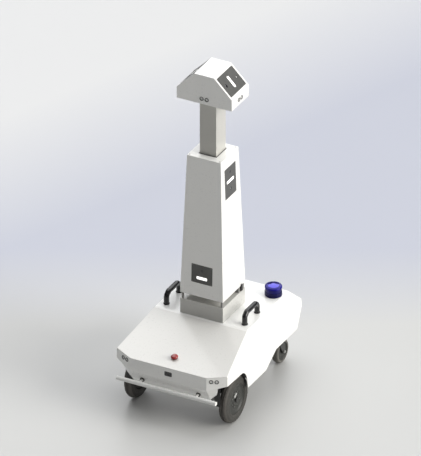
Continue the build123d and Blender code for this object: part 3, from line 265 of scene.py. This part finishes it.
FINISH = {
    WHITE: (
        "deck_cover", "flank_cover_left", "flank_cover_right", "rear_cover", "front_cover",
        "tower_shell", "tower_cap", "head_shell", "head_base", "bumper_caps",
    ),
    HOOD_SHADED_WHITE: ("hood_cover",),
    PLINTH_SHADED_WHITE: ("plinth",),
    POST_SHADED_GREY: ("tower_standoffs",),
    GAITER: ("bumper_sleeves",),
    MAST_SHADED_WHITE: ("mast",),
    PLATE: ("tower_front_plate", "tower_side_plate", "head_plates"),
    LENS_BLACK: ("tower_lenses", "head_lenses"),
    LIGHT: ("tower_lights", "head_lights"),
    SENSOR: ("corner_sonars", "head_sonars", "depth_camera"),
    HANDLE: ("handle_left", "handle_right"),
    BLACK: ("estop_collar", "tower_latches"),
    BLACK_METAL: (
        "caster_fork_left", "caster_fork_right", "caster_mount_left", "caster_mount_right",
        "wheel_brackets", "drive_axles",
    ),
    BELLY: ("belly_pan", "wheel_arch_left", "wheel_arch_right"),
    BAR: ("bumper_bar", "bumper_rods"),
    STEEL: ("caster_axle_left", "caster_axle_right", "lidar_screws"),
    TYRE: ("drive_tyre_left", "drive_tyre_right"),
    CASTER_RUBBER: ("caster_wheel_left", "caster_wheel_right"),
    SHADED_HUB: ("hub_motor_left", "hub_motor_right"),
    LIDAR_BODY: ("lidar_base",),
    LIDAR_WINDOW: ("lidar_window",),
    LIDAR_CAP: ("lidar_cap",),
    RED: ("estop_button",),
    INNER: (
        "battery_pack", "chassis_frame", "control_box", "lidar_motor", "lidar_rotor", "lift_column",
        "lift_nut",
    ),
}
MATERIAL_OF = {node: material for material, nodes in FINISH.items() for node in nodes}
for node, material in MATERIAL_OF.items():
    for slot in NODES[node].material_slots:
        slot.material = material

# ---------------------------------------------------------------- piece building blocks
WELD = 1e-6                                 # points nearer than this are one point
ON_AXIS = 1e-7                              # a turned radius under this is a point on the axis
FLAT_ANGLE = radians(0.5)                   # faces that differ by less are one flat face
BEVEL_ANGLE = radians(20)                   # edges sharper than this are eased
SHARP_ANGLE = radians(32)                   # edges sharper than this are not shaded smooth
BEVEL_STEPS = 2
ROUND_STEPS = 4                             # segments in a rounded corner of a turned profile
ROUND_SHARE = 0.45                          # a rounded corner takes at most this share of a side
TURN_STEPS = 96                             # segments round most turned pieces
SCREW_STEPS = 24
LENS_STEPS = 40
ROUND_CORNERS = 8                           # a round face has more corners than this
OUT_OF_ROUND = 0.2 * MM                     # and they differ from a circle by less than this
RADIUS_SLACK = 0.6 * MM
# profiles are (radius, height); these are in shares of the part's own radius
SCREW_HEAD = ((0, 0.2), (0.40, 0.2), (0.50, 0.62), (0.78, 0.60), (0.96, 0.36), (1.0, -0.25), (0, -0.25))
DOME = ((0.0, 0.0), (0.45, -0.11), (0.78, -0.36), (1.0, -0.75), (1.0, -0.9))
DOME_RISE = 0.3                             # how much of that height a lens dome has


def facing(centre, direction):
    """Placement whose own Z points in a direction."""
    turn = Vector(direction).to_track_quat("Z", "Y").to_matrix().to_4x4()
    return Matrix.Translation(Vector(centre)) @ turn


def piece(name, shape, materials, body, bevel=0.0, hides=()):
    """Make one object from a bmesh, smooth it by angle, hang it on its body's empty, and hide the CAD nodes
    it takes the place of.
    """
    mesh = bpy.data.meshes.new(name)
    bmesh.ops.recalc_face_normals(shape, faces=shape.faces)
    shape.to_mesh(mesh)
    shape.free()
    made = bpy.data.objects.new(name, mesh)
    bpy.context.collection.objects.link(made)
    for material in materials:
        mesh.materials.append(material)
    for polygon in mesh.polygons:
        polygon.use_smooth = True
    if bevel:
        rounding = made.modifiers.new("rounding", "BEVEL")
        rounding.width = bevel
        rounding.segments = BEVEL_STEPS
        rounding.limit_method = "ANGLE"
        rounding.angle_limit = BEVEL_ANGLE
        rounding.harden_normals = True
    mesh.set_sharp_from_angle(angle=SHARP_ANGLE)
    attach(made, body)
    if hides:
        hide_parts(*hides)
    return made


def middle(node):
    """Centre of a CAD node's box."""
    low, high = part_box(node)
    return Vector([(a + b) / 2 for a, b in zip(low, high)])


def size(node):
    """Lengths of a CAD node's box."""
    low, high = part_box(node)
    return Vector([b - a for a, b in zip(low, high)])


def node_shape(node):
    """A CAD node's mesh as a bmesh in world space, with its flat faces whole again."""
    source = NODES[node]
    shape = bmesh.new()
    shape.from_mesh(source.data)
    shape.transform(source.matrix_world)
    bmesh.ops.remove_doubles(shape, verts=shape.verts, dist=WELD)
    bmesh.ops.dissolve_limit(
        shape, angle_limit=FLAT_ANGLE, verts=shape.verts, edges=shape.edges, use_dissolve_boundaries=False
    )
    return shape


def round_off(points, radius):
    """Turned profile with its inner points replaced by small arcs."""
    done = [points[0]]
    for before, corner, after in zip(points, points[1:], points[2:]):
        corner = Vector(corner)
        to_before = Vector(before) - corner
        to_after = Vector(after) - corner
        reach = min(radius, to_before.length * ROUND_SHARE, to_after.length * ROUND_SHARE)
        start = corner + to_before.normalized() * reach
        end = corner + to_after.normalized() * reach
        for step in range(ROUND_STEPS + 1):
            t = step / ROUND_STEPS
            done.append(tuple(start * (1 - t) ** 2 + corner * 2 * t * (1 - t) + end * t ** 2))
    done.append(points[-1])
    return done


def both_sides(profile):
    """Closed outline from the half of it at heights above zero."""
    return profile + [(radius, -height) for radius, height in reversed(profile)] + [profile[0]]


def turned(shape, profile, place, segments=TURN_STEPS, zone=None, lug=None):
    """Turn a profile of (radius, height) about the placement's Z. zone(radius, height) picks a face's
    material, and lug(step, radius, height) gives how far a point is cut in."""
    rings = []
    for radius, height in profile:
        if radius < ON_AXIS:
            rings.append([shape.verts.new(place @ Vector((0, 0, height)))])
            continue
        ring = []
        for step in range(segments):
            angle = 2 * pi * step / segments
            reach = radius - (lug(step, radius, height) if lug else 0.0)
            ring.append(shape.verts.new(place @ Vector((reach * cos(angle), reach * sin(angle), height))))
        rings.append(ring)
    for index, (low, high) in enumerate(zip(rings, rings[1:])):
        if len(low) == len(high) == 1:
            continue
        for step in range(segments):
            following = (step + 1) % segments
            corners = [low[step % len(low)], low[following % len(low)],
                       high[following % len(high)], high[step % len(high)]]
            face = shape.faces.new(dict.fromkeys(corners))
            if zone:
                halfway = [(a + b) / 2 for a, b in zip(profile[index], profile[index + 1])]
                face.material_index = zone(*halfway)
    return shape


def screw(shape, centre, direction, radius):
    """Domed screw head with a round-cornered recess."""
    profile = [(r * radius, h * radius) for r, h in SCREW_HEAD]
    return turned(shape, profile, facing(centre, direction), SCREW_STEPS)


def block(shape, corner, opposite):
    """Box between two opposite corners."""
    spans = [abs(b - a) for a, b in zip(corner, opposite)]
    centre = [(a + b) / 2 for a, b in zip(corner, opposite)]
    bmesh.ops.create_cube(
        shape, size=1.0, matrix=Matrix.Translation(centre) @ Matrix.Diagonal((*spans, 1.0))
    )
    return shape


def islands(node):
    """Points of each separate solid of a CAD node."""
    shape = node_shape(node)
    left = dict.fromkeys(shape.verts)       # a set would empty in a different order each run
    found = []
    while left:
        waiting = [left.popitem()[0]]
        group = []
        while waiting:
            vertex = waiting.pop()
            group.append(tuple(vertex.co))
            for edge in vertex.link_edges:
                other = edge.other_vert(vertex)
                if other in left:
                    del left[other]
                    waiting.append(other)
        found.append(numpy.array(group))
    shape.free()
    return sorted(found, key=lambda points: tuple(points.mean(axis=0).round(4)))


def principal(points):
    """Centre, spreads and principal directions, from the shortest spread to the longest."""
    centre = points.mean(axis=0)
    spreads, directions = numpy.linalg.eigh(numpy.cov((points - centre).T))
    return centre, spreads, directions.T


def outward(direction, centre):
    """The direction, turned away from the tower's upright axis."""
    away = numpy.array([centre[0], centre[1] - TOWER_Y, 0.0])
    return direction if direction @ away > 0 else -direction


def cans(node):
    """Front centre, outward axis and radius of each round can of a node."""
    found = []
    for points in islands(node):
        centre, spreads, directions = principal(points)
        flat = spreads[2] - spreads[1] < spreads[1] - spreads[0]
        axis = outward(directions[0 if flat else 2], centre)
        along = (points - centre) @ axis
        radial = points - centre - numpy.outer(along, axis)
        radius = numpy.linalg.norm(radial, axis=1).max()
        found.append((Vector(centre + axis * along.max()), Vector(axis), float(radius)))
    return found


def on_surface(node, start, direction):
    """Where a ray meets a CAD node, and the surface's normal there."""
    shape = node_shape(node)
    spot, normal, _, _ = BVHTree.FromBMesh(shape).ray_cast(Vector(start), Vector(direction))
    shape.free()
    return spot, normal


def round_faces(node, radius):
    """Centre and normal of each round flat face of about this radius."""
    shape = node_shape(node)
    found = []
    for face in shape.faces:
        centre = face.calc_center_median()
        reach = [(vertex.co - centre).length for vertex in face.verts]
        is_round = len(reach) > ROUND_CORNERS and max(reach) - min(reach) < OUT_OF_ROUND
        if is_round and abs(max(reach) - radius) < RADIUS_SLACK:
            found.append((centre.copy(), face.normal.copy()))
    shape.free()
    return found


# ---------------------------------------------------------------- eased covers and housings
EASED = {                                   # bevel width in millimetres, by CAD node
    "deck_cover": 1.2, "hood_cover": 1.2, "flank_cover_left": 1.2, "flank_cover_right": 1.2,
    "front_cover": 1.0, "rear_cover": 1.2, "tower_shell": 1.6, "tower_cap": 1.0, "plinth": 1.5,
    "head_shell": 1.4, "head_base": 1.0, "mast": 1.4, "tower_front_plate": 0.7,
    "tower_side_plate": 0.7, "head_plates": 0.7, "tower_latches": 1.2, "tower_standoffs": 1.0,
    "caster_fork_left": 1.0, "caster_fork_right": 1.0, "caster_mount_left": 1.0,
    "caster_mount_right": 1.0, "wheel_brackets": 1.0, "drive_axles": 0.8, "depth_camera": 0.8,
    "bumper_bar": 1.0, "bumper_caps": 0.8,
}
for node, width in EASED.items():
    piece(
        f"{node}_eased", node_shape(node), [MATERIAL_OF[node]], BODY_OF[node], width * MM,
        (node,),
    )

# ---------------------------------------------------------------- drive wheels
SIDES = (("right", 1), ("left", -1))
TREAD_STEPS = 144
LUG_EVERY = 6                               # tread steps between cross cuts
LUG_DEPTH = 2.4 * MM
LUG_DOWN = 14 * MM                          # the cuts reach this far down the shoulder
TREAD_DOWN = 10 * MM                        # and the tread's rubber this far
MIDDLE_RIB = 8 * MM                         # half the width of the uncut rib in the middle
AXLE_HOLE_R = 10.2 * MM
HUB_BOLTS = 8
HUB_BOLT_CIRCLE_R = 47 * MM
HUB_BOLT_R = 4.2 * MM
TAB_SIZE = (9 * MM, 33 * MM, 14 * MM)
TAB_OUT = 4.5 * MM                          # the tab's middle stands this far out of the hub's dish
TAB_AHEAD = 11 * MM                         # and this far in front of the axle
TAB_ABOVE = 31 * MM
TAB_SLANT = radians(40.0)


def drive_tyre(name, place, half, radius, rim):
    """Grooved tyre with cross cuts in both shoulders of its tread."""
    outer = [
        (rim, half - 6 * MM), (rim + 5 * MM, half - 2 * MM), (rim + 14 * MM, half - 0.4 * MM),
        (rim + 16 * MM, half - 2 * MM), (rim + 19 * MM, half - 2 * MM), (rim + 21 * MM, half - 0.2 * MM),
        (radius - 22 * MM, half - 0.6 * MM), (radius - 9 * MM, half - 5.5 * MM),
        (radius - 2.5 * MM, half - 13 * MM), (radius, half - 21 * MM),
        (radius, 4.5 * MM), (radius - 3 * MM, 3.6 * MM), (radius - 3 * MM, 1.4 * MM), (radius, 0.5 * MM),
    ]

    def tread_cut(step, r, h):
        shoulder = r > radius - LUG_DOWN and MIDDLE_RIB < abs(h) < half - 3 * MM
        return LUG_DEPTH if step % LUG_EVERY == 0 and shoulder else 0.0

    # the tread gets the plain rubber, the sidewalls a darker copy that stands for the shade in the wheel's
    # recess
    def tyre_zone(r, h):
        return 0 if r > radius - TREAD_DOWN and abs(h) < half - 4 * MM else 1

    outline = round_off(both_sides(outer), 1.6 * MM)
    piece(
        f"tyre_{name}", turned(bmesh.new(), outline, place, TREAD_STEPS, tyre_zone, tread_cut),
        [TYRE, SHADED_SIDEWALL], f"drive_wheel_{name}", hides=(f"drive_tyre_{name}",),
    )


def drive_hub(name, side, place, half, rim):
    """Dished hub motor with its bolts, and a pale metal tab a little above the axle that stands for a glint
    on the hub.
    """
    body = f"drive_wheel_{name}"
    face_out = half - 8 * MM
    dish = half - 15 * MM
    boss = half - 10 * MM
    inner_face = -half + 8 * MM
    disc = [
        (AXLE_HOLE_R, inner_face), (rim - 12 * MM, inner_face), (rim - 0.2 * MM, inner_face + 8 * MM),
        (rim - 0.2 * MM, face_out), (rim - 5 * MM, face_out + 1.6 * MM), (rim - 13 * MM, dish + 2 * MM),
        (rim - 22 * MM, dish), (60 * MM, dish), (57 * MM, dish + 1.5 * MM), (54 * MM, dish), (38 * MM, dish),
        (32 * MM, boss), (20 * MM, boss), (18.5 * MM, boss - 2 * MM), (AXLE_HOLE_R, boss - 2 * MM),
        (AXLE_HOLE_R, inner_face),
    ]
    piece(
        f"hub_{name}", turned(bmesh.new(), round_off(disc, 1.2 * MM), place), [SHADED_HUB], body,
        hides=(f"hub_motor_{name}",),
    )

    bolts = bmesh.new()
    for step in range(HUB_BOLTS):
        angle = 2 * pi * (step + 0.5) / HUB_BOLTS
        circle = Vector((HUB_BOLT_CIRCLE_R * cos(angle), HUB_BOLT_CIRCLE_R * sin(angle), dish + 1 * MM))
        screw(bolts, place @ circle, (side, 0, 0), HUB_BOLT_R)
    piece(f"hub_bolts_{name}", bolts, [BOLT], body)

    # pale tab placed where a glint shows on the hub: a painted highlight
    tab = bmesh.new()
    bmesh.ops.create_cube(tab, size=1.0)
    spot = middle(f"drive_tyre_{name}") + Vector((side * (dish + TAB_OUT), -TAB_AHEAD, TAB_ABOVE))
    slant = Matrix.Rotation(TAB_SLANT, 4, "X")
    tab.transform(Matrix.Translation(spot) @ slant @ Matrix.Diagonal((*TAB_SIZE, 1.0)))
    piece(f"hub_glint_tab_{name}", tab, [GLINT_METAL], body, 2.5 * MM)


for name, side in SIDES:
    axle_place = facing(middle(f"drive_tyre_{name}"), (side, 0, 0))
    half_width = size(f"drive_tyre_{name}").x / 2
    rim_r = size(f"hub_motor_{name}").z / 2
    drive_tyre(name, axle_place, half_width, size(f"drive_tyre_{name}").z / 2, rim_r)
    drive_hub(name, side, axle_place, half_width, rim_r)


# ---------------------------------------------------------------- caster wheels
CASTER_STEPS = 80
CASTER_BOSS_OUT = 2 * MM                    # how far the boss stands out of the tread's side


def caster_tyre(name):
    """Caster wheel: hub with a raised boss, and a soft tread round it."""
    node = f"caster_wheel_{name}"
    radius = size(node).z / 2
    half = size(node).x / 2 - CASTER_BOSS_OUT
    hub_r = radius - 25 * MM
    side_of_wheel = [
        (5.1 * MM, half + CASTER_BOSS_OUT), (13 * MM, half + CASTER_BOSS_OUT), (15 * MM, half - 7 * MM),
        (hub_r, half - 7 * MM), (hub_r + 4 * MM, half), (hub_r + 8 * MM, half + 0.3 * MM),
        (radius - 8 * MM, half), (radius - 3 * MM, half - 6 * MM), (radius, 0.4 * MM),
    ]
    outline = round_off(both_sides(side_of_wheel), 1.5 * MM)
    piece(
        f"caster_tyre_{name}",
        turned(bmesh.new(), outline, facing(middle(node), (1, 0, 0)), CASTER_STEPS,
               lambda r, h: 0 if r > hub_r + 6 * MM else 1),
        [CASTER_RUBBER, SHADED_HUB], f"caster_roller_{name}", hides=(node,),
    )


for name, _ in SIDES:
    caster_tyre(name)

# ---------------------------------------------------------------- lidar puck
PUCK_STEPS = 128
BASE_WALL = 5 * MM
WINDOW_WALL = 3 * MM
RIBS = 4                                    # grooves round the base
RIB_FIRST = 6 * MM
RIB_EVERY = 4 * MM
CAP_FALL = 7 * MM                           # the cap slopes down gently from its flat middle
FLAT_R = 14 * MM
LENS_R = 34 * MM                            # polished middle of the cap, a lighter metallic blue that brightens the highlight band on it: partly painted highlight
LENS_GROOVE = 0.9 * MM                      # depth of the groove round it
CAP_EDGE = 4 * MM                           # width and height of the cap's sloping edge
CAP_DEEP = 11 * MM                          # from the cap's top to the hollow under it

puck = middle("lidar_base")
base_r = size("lidar_base").x / 2
window_r = size("lidar_window").x / 2
inner_r = window_r - WINDOW_WALL
base_low, base_high = (corner[2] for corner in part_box("lidar_base"))
cap_low, cap_high = (corner[2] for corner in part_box("lidar_cap"))
upright = Matrix.Translation((puck.x, puck.y, 0.0))

base = [(0, base_low), (base_r - 2 * MM, base_low), (base_r, base_low + 2 * MM)]
for step in range(RIBS):
    rib = base_low + RIB_FIRST + step * RIB_EVERY
    base += [(base_r, rib), (base_r - 1.4 * MM, rib + 0.8 * MM), (base_r, rib + 1.6 * MM)]
base += [
    (base_r, base_high - 0.4 * MM), (base_r - 0.6 * MM, base_high), (base_r - BASE_WALL, base_high),
    (base_r - BASE_WALL, base_low + BASE_WALL), (0, base_low + BASE_WALL),
]
piece(
    "lidar_housing", turned(bmesh.new(), base, upright, PUCK_STEPS), [LIDAR_BODY], "chassis",
    hides=("lidar_base",),
)

glass = [
    (inner_r, base_high), (window_r, base_high), (window_r + 1.2 * MM, (base_high + cap_low) / 2),
    (window_r, cap_low), (inner_r, cap_low), (inner_r, base_high),
]
piece(
    "lidar_glass", turned(bmesh.new(), round_off(glass, 4 * MM), upright, PUCK_STEPS), [LIDAR_WINDOW],
    "chassis", hides=("lidar_window",),
)


def cap_z(r):
    """Height of the cap's slope at a radius."""
    return cap_high - CAP_FALL * (r - FLAT_R) / (base_r - CAP_EDGE - FLAT_R)


top = [
    (inner_r, cap_low), (base_r - 0.6 * MM, cap_low), (base_r, cap_low + 0.8 * MM),
    (base_r, cap_high - CAP_FALL - CAP_EDGE), (base_r - CAP_EDGE, cap_high - CAP_FALL),
    (LENS_R + 1.5 * MM, cap_z(LENS_R + 1.5 * MM)), (LENS_R + 1.1 * MM, cap_z(LENS_R) - LENS_GROOVE),
    (LENS_R + 0.4 * MM, cap_z(LENS_R) - LENS_GROOVE), (LENS_R, cap_z(LENS_R)),
    (FLAT_R, cap_high), (0, cap_high),
]
hollow = [(0, cap_high - CAP_DEEP), (inner_r, cap_high - CAP_DEEP), (inner_r, cap_low)]
piece(
    "lidar_top",
    turned(bmesh.new(), round_off(top, 3 * MM) + hollow, upright, PUCK_STEPS,
           lambda r, h: 1 if r < LENS_R and h > cap_high - 8 * MM else 0),
    [LIDAR_CAP, LIDAR_HIGHLIGHT_DISC], "chassis", hides=("lidar_cap",),
)

# ---------------------------------------------------------------- emergency stop
STOP_STEM_R = 6.9 * MM
STOP_FLUTE = 0.5 * MM                       # depth of the grip flutes round its rim
STOP_FLUTE_EVERY = 4                        # turning steps from one flute to the next

push = next(joint["axis"] for joint in BEHAVIOUR["joints"] if joint["name"] == "estop_push")
lift = -Vector(push).normalized()
heights = [Vector(point).dot(lift) for point in islands("estop_button")[0]]
crown = max(heights)
foot = min(heights)
collar = middle("estop_collar")
on_axis = Vector((0.0, collar.y, collar.z))
origin = on_axis + lift * (crown - on_axis.dot(lift))
mushroom_r = size("estop_button").x / 2
button = [
    (0, foot - crown), (STOP_STEM_R, foot - crown), (STOP_STEM_R, -15 * MM), (mushroom_r - 3 * MM, -15 * MM),
    (mushroom_r - 0.4 * MM, -13 * MM), (mushroom_r, -11 * MM), (mushroom_r - 2 * MM, -7 * MM),
    (mushroom_r * 0.66, -2.6 * MM), (mushroom_r * 0.33, -0.7 * MM), (0, 0),
]


def grip_flute(step, radius, _):
    """Half of each flute's steps are cut in, at the rim only."""
    cut = step % STOP_FLUTE_EVERY < STOP_FLUTE_EVERY / 2 and radius > mushroom_r - 1 * MM
    return STOP_FLUTE if cut else 0.0


piece(
    "estop_mushroom",
    turned(bmesh.new(), round_off(button, 1.6 * MM), facing(origin, lift), lug=grip_flute),
    [RED], "estop", hides=("estop_button",),
)

# ---------------------------------------------------------------- sonar membranes and lenses
SONAR_RIM = 3.9 * MM                        # width of the can's rim round its membrane
SONAR_SUNK = 2.7 * MM                       # and how far the membrane lies behind it
SONAR_STEPS = 48
# ringed membrane: share of its radius, height in millimetres
DIMPLES = (
    (0.0, 0.9), (0.22, 0.8), (0.26, 0.45), (0.46, 0.35), (0.50, 0.7), (0.72, 0.5), (0.76, 0.1), (1.0, 0.0),
)
for node in ("corner_sonars", "head_sonars"):
    grilles = bmesh.new()
    for front, axis, radius in cans(node):
        face_r = radius - SONAR_RIM
        profile = [(r * face_r, h * MM) for r, h in DIMPLES] + [(face_r, -0.2 * MM)]
        turned(grilles, profile, facing(front - axis * SONAR_SUNK, axis), SONAR_STEPS)
    piece(f"{node}_membranes", grilles, [MEMBRANE], BODY_OF[node])

LENS_RIM = 1.9 * MM
LENS_KINDS = (                              # name, smallest and largest radius of the barrel, material, slot
    ("beacon", 0.0, 8 * MM, PALE_LENS, "light_bar"),
    ("eye", 8 * MM, 11.5 * MM, LENS_GLASS, "lens_glass"),
    ("port", 11.5 * MM, 99 * MM, GREY_LENS, "lens_glass"),
)
for node in ("tower_lenses", "head_lenses"):
    for kind, smallest, largest, material, slot in LENS_KINDS:
        chosen = [can for can in cans(node) if smallest <= can[2] < largest]
        if not chosen:
            continue
        domes = bmesh.new()
        for front, axis, radius in chosen:
            glass_r = radius - LENS_RIM
            profile = [(r * glass_r, h * glass_r * DOME_RISE) for r, h in DOME]
            turned(domes, profile, facing(front, axis), LENS_STEPS)
        piece(f"{node}_{kind}", domes, [material], BODY_OF[node])

# ---------------------------------------------------------------- screws and camera eyes
PLATE_SCREW_INSET = 8 * MM
PLATE_SCREW_R = 2.6 * MM
for node in ("tower_front_plate", "tower_side_plate", "head_plates"):
    heads = bmesh.new()
    for points in islands(node):
        centre, _, directions = principal(points)
        normal = outward(directions[0], centre)
        front = ((points - centre) @ normal).max()
        across, along = ((points - centre) @ direction for direction in directions[1:])
        for u in (across.min() + PLATE_SCREW_INSET, across.max() - PLATE_SCREW_INSET):
            for v in (along.min() + PLATE_SCREW_INSET, along.max() - PLATE_SCREW_INSET):
                spot = centre + normal * front + directions[1] * u + directions[2] * v
                screw(heads, spot, normal, PLATE_SCREW_R)
    piece(f"{node}_screws", heads, [BOLT], BODY_OF[node])

COVER_SCREW_R = 3.4 * MM
CAP_SCREW_INSET = 12 * MM
CAP_SCREW_SUNK = 0.3 * MM
REAR_STARTS = [(x, 1.0, z) for x in (-0.22, -0.075, 0.075, 0.22) for z in (0.30, 0.44)]
BELLY_STARTS = [(x, y, 0.01) for x in (-0.16, 0.16) for y in (-0.36, -0.12, 0.12, 0.30)]
covers = bmesh.new()
cap_half = size("tower_cap").x / 2 - CAP_SCREW_INSET
cap_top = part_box("tower_cap")[1][2]
for x in (-cap_half, cap_half):
    for y in (TOWER_Y - cap_half, TOWER_Y + cap_half):
        screw(covers, (x, y, cap_top - CAP_SCREW_SUNK), (0, 0, 1), COVER_SCREW_R)
# each ray starts outside the cover and puts a screw where it meets it
for node, starts, direction in (
    ("rear_cover", REAR_STARTS, (0, -1, 0)), ("belly_pan", BELLY_STARTS, (0, 0, 1)),
):
    for start in starts:
        spot, normal = on_surface(node, start, direction)
        if spot:
            screw(covers, spot, normal, COVER_SCREW_R)
piece("cover_screws", covers, [BOLT], "chassis")

CAMERA_EYE_R = 5 * MM
CAMERA_EYE_STEPS = 32
CAMERA_EYE_OUT = 0.35                       # share of the eye's radius by which it stands out
eyes = bmesh.new()
for centre, normal in round_faces("depth_camera", CAMERA_EYE_R):
    glass_r = CAMERA_EYE_R - 0.3 * MM
    profile = [(r * glass_r, (DOME_RISE * h + CAMERA_EYE_OUT) * glass_r) for r, h in DOME]
    turned(eyes, profile + [(glass_r, -0.1 * MM)], facing(centre, normal), CAMERA_EYE_STEPS)
piece("camera_eyes", eyes, [LENS_GLASS], "chassis")

# ---------------------------------------------------------------- mast wiper and dark gap sheets
WIPER_W = 4 * MM
WIPER_H = 2.5 * MM
WIPER_PLAY = 0.7 * MM
inner_x = size("mast").x / 2 + WIPER_PLAY
inner_y = size("mast").y / 2 + WIPER_PLAY
outer_x = inner_x + WIPER_W
outer_y = inner_y + WIPER_W
wiper_top = cap_top + WIPER_H
# felt wiper where the mast leaves the tower: two strips across the robot and two along it
wiper = bmesh.new()
for sign in (-1, 1):
    near = TOWER_Y + sign * inner_y
    far = TOWER_Y + sign * outer_y
    block(wiper, (-outer_x, near, cap_top), (outer_x, far, wiper_top))
    block(
        wiper, (sign * inner_x, TOWER_Y - inner_y, cap_top),
        (sign * outer_x, TOWER_Y + inner_y, wiper_top),
    )
piece("mast_wiper", wiper, [GAITER], "chassis", 0.6 * MM)

# black sheet between the front corner and each drive wheel, filling the dark gap there
FLAP_NEAR = (0.268, -0.437, 0.165)          # opposite corners of the right sheet
FLAP_FAR = (0.306, -0.434, 0.285)
for name, side in SIDES:
    corners = [(side * x, y, z) for x, y, z in (FLAP_NEAR, FLAP_FAR)]
    flap = block(bmesh.new(), *corners)
    bmesh.ops.subdivide_edges(flap, edges=flap.edges[:], cuts=3, use_grid_fill=True)
    piece(f"dark_gap_sheet_{name}", flap, [BLACK], "chassis", 0.8 * MM)

# ---------------------------------------------------------------- floor
AWAY = Vector((-sin(AZIMUTH), cos(AZIMUTH), 0.0))       # level directions, as the camera sees them
LEFT = Vector((-cos(AZIMUTH), -sin(AZIMUTH), 0.0))
FLOOR_SIZE = 600.0
floor_nodes = Nodes("studio_floor")


def floor_reach(direction):
    """How far a point of the floor lies along a level direction from the middle."""
    made = floor_nodes.node("ShaderNodeVectorMath", {"Vector": floor_nodes.place}, operation="DOT_PRODUCT")
    made.inputs[1].default_value = direction
    return made.outputs["Value"]


# floor tone: grey near the robot, bluish beyond it, and paler again in the far left corner, a painted pool
# of light
cloud = floor_nodes.spread(floor_nodes.noise(0.6, 2.0), 0.0, 1.0)
near_tone = floor_nodes.mix(cloud, (0.515, 0.515, 0.507), (0.53, 0.53, 0.522))
far_tone = floor_nodes.mix(cloud, (0.43, 0.445, 0.515), (0.438, 0.453, 0.523))
beyond = floor_nodes.spread(floor_reach(AWAY), 0.0, 1.0, 0.7, 1.6)
corner = floor_nodes.spread(floor_reach(AWAY + LEFT * 0.85), 0.0, 1.0, 2.6, 4.2)
floor_tone = floor_nodes.mix(corner, floor_nodes.mix(beyond, near_tone, far_tone), (0.61, 0.61, 0.615))
floor_nodes.set(Base_Color=floor_tone, Roughness=0.35, Specular_IOR_Level=0.3)
bpy.ops.mesh.primitive_plane_add(size=FLOOR_SIZE)
floor = bpy.context.object
floor.name = "floor"
floor.data.materials.append(floor_nodes.material)


# ---------------------------------------------------------------- light
def light_object(name, kind, strength):
    """New light of a kind, linked into the scene."""
    made = bpy.data.objects.new(name, bpy.data.lights.new(name, kind))
    bpy.context.collection.objects.link(made)
    made.data.energy = strength
    return made


def sun(name, towards, spread, strength, colour):
    """Broad soft light from a direction; it has no falloff, so it suits every view alike."""
    light = light_object(name, "SUN", strength)
    light.data.angle = radians(spread)
    light.data.color = colour
    light.rotation_mode = "QUATERNION"
    light.rotation_quaternion = Vector(towards).to_track_quat("Z", "Y")


sun("right_softbox", (0.91, 0.10, 0.40), 40.0, 3.2, (1.0, 0.985, 0.94))
sun("top_softbox", (-0.12, 0.45, 0.88), 84.0, 3.0, (0.98, 0.99, 1.0))

# soft light on the floor beneath the belly, as from the room's pale walls
UNDER_SPOT = (0.0, -0.20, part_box("belly_pan")[0][2] - 6 * MM)
under = light_object("under_fill", "AREA", 0.35)
under.data.shape = "RECTANGLE"
under.data.size = 0.50
under.data.size_y = 0.60
under.location = UNDER_SPOT
under.visible_camera = False

world = bpy.data.worlds.new("studio")
bpy.context.scene.world = world
world.use_nodes = True
sky = world.node_tree.nodes["Background"]
sky.inputs["Color"].default_value = (0.90, 0.92, 0.96, 1.0)
sky.inputs["Strength"].default_value = 0.085
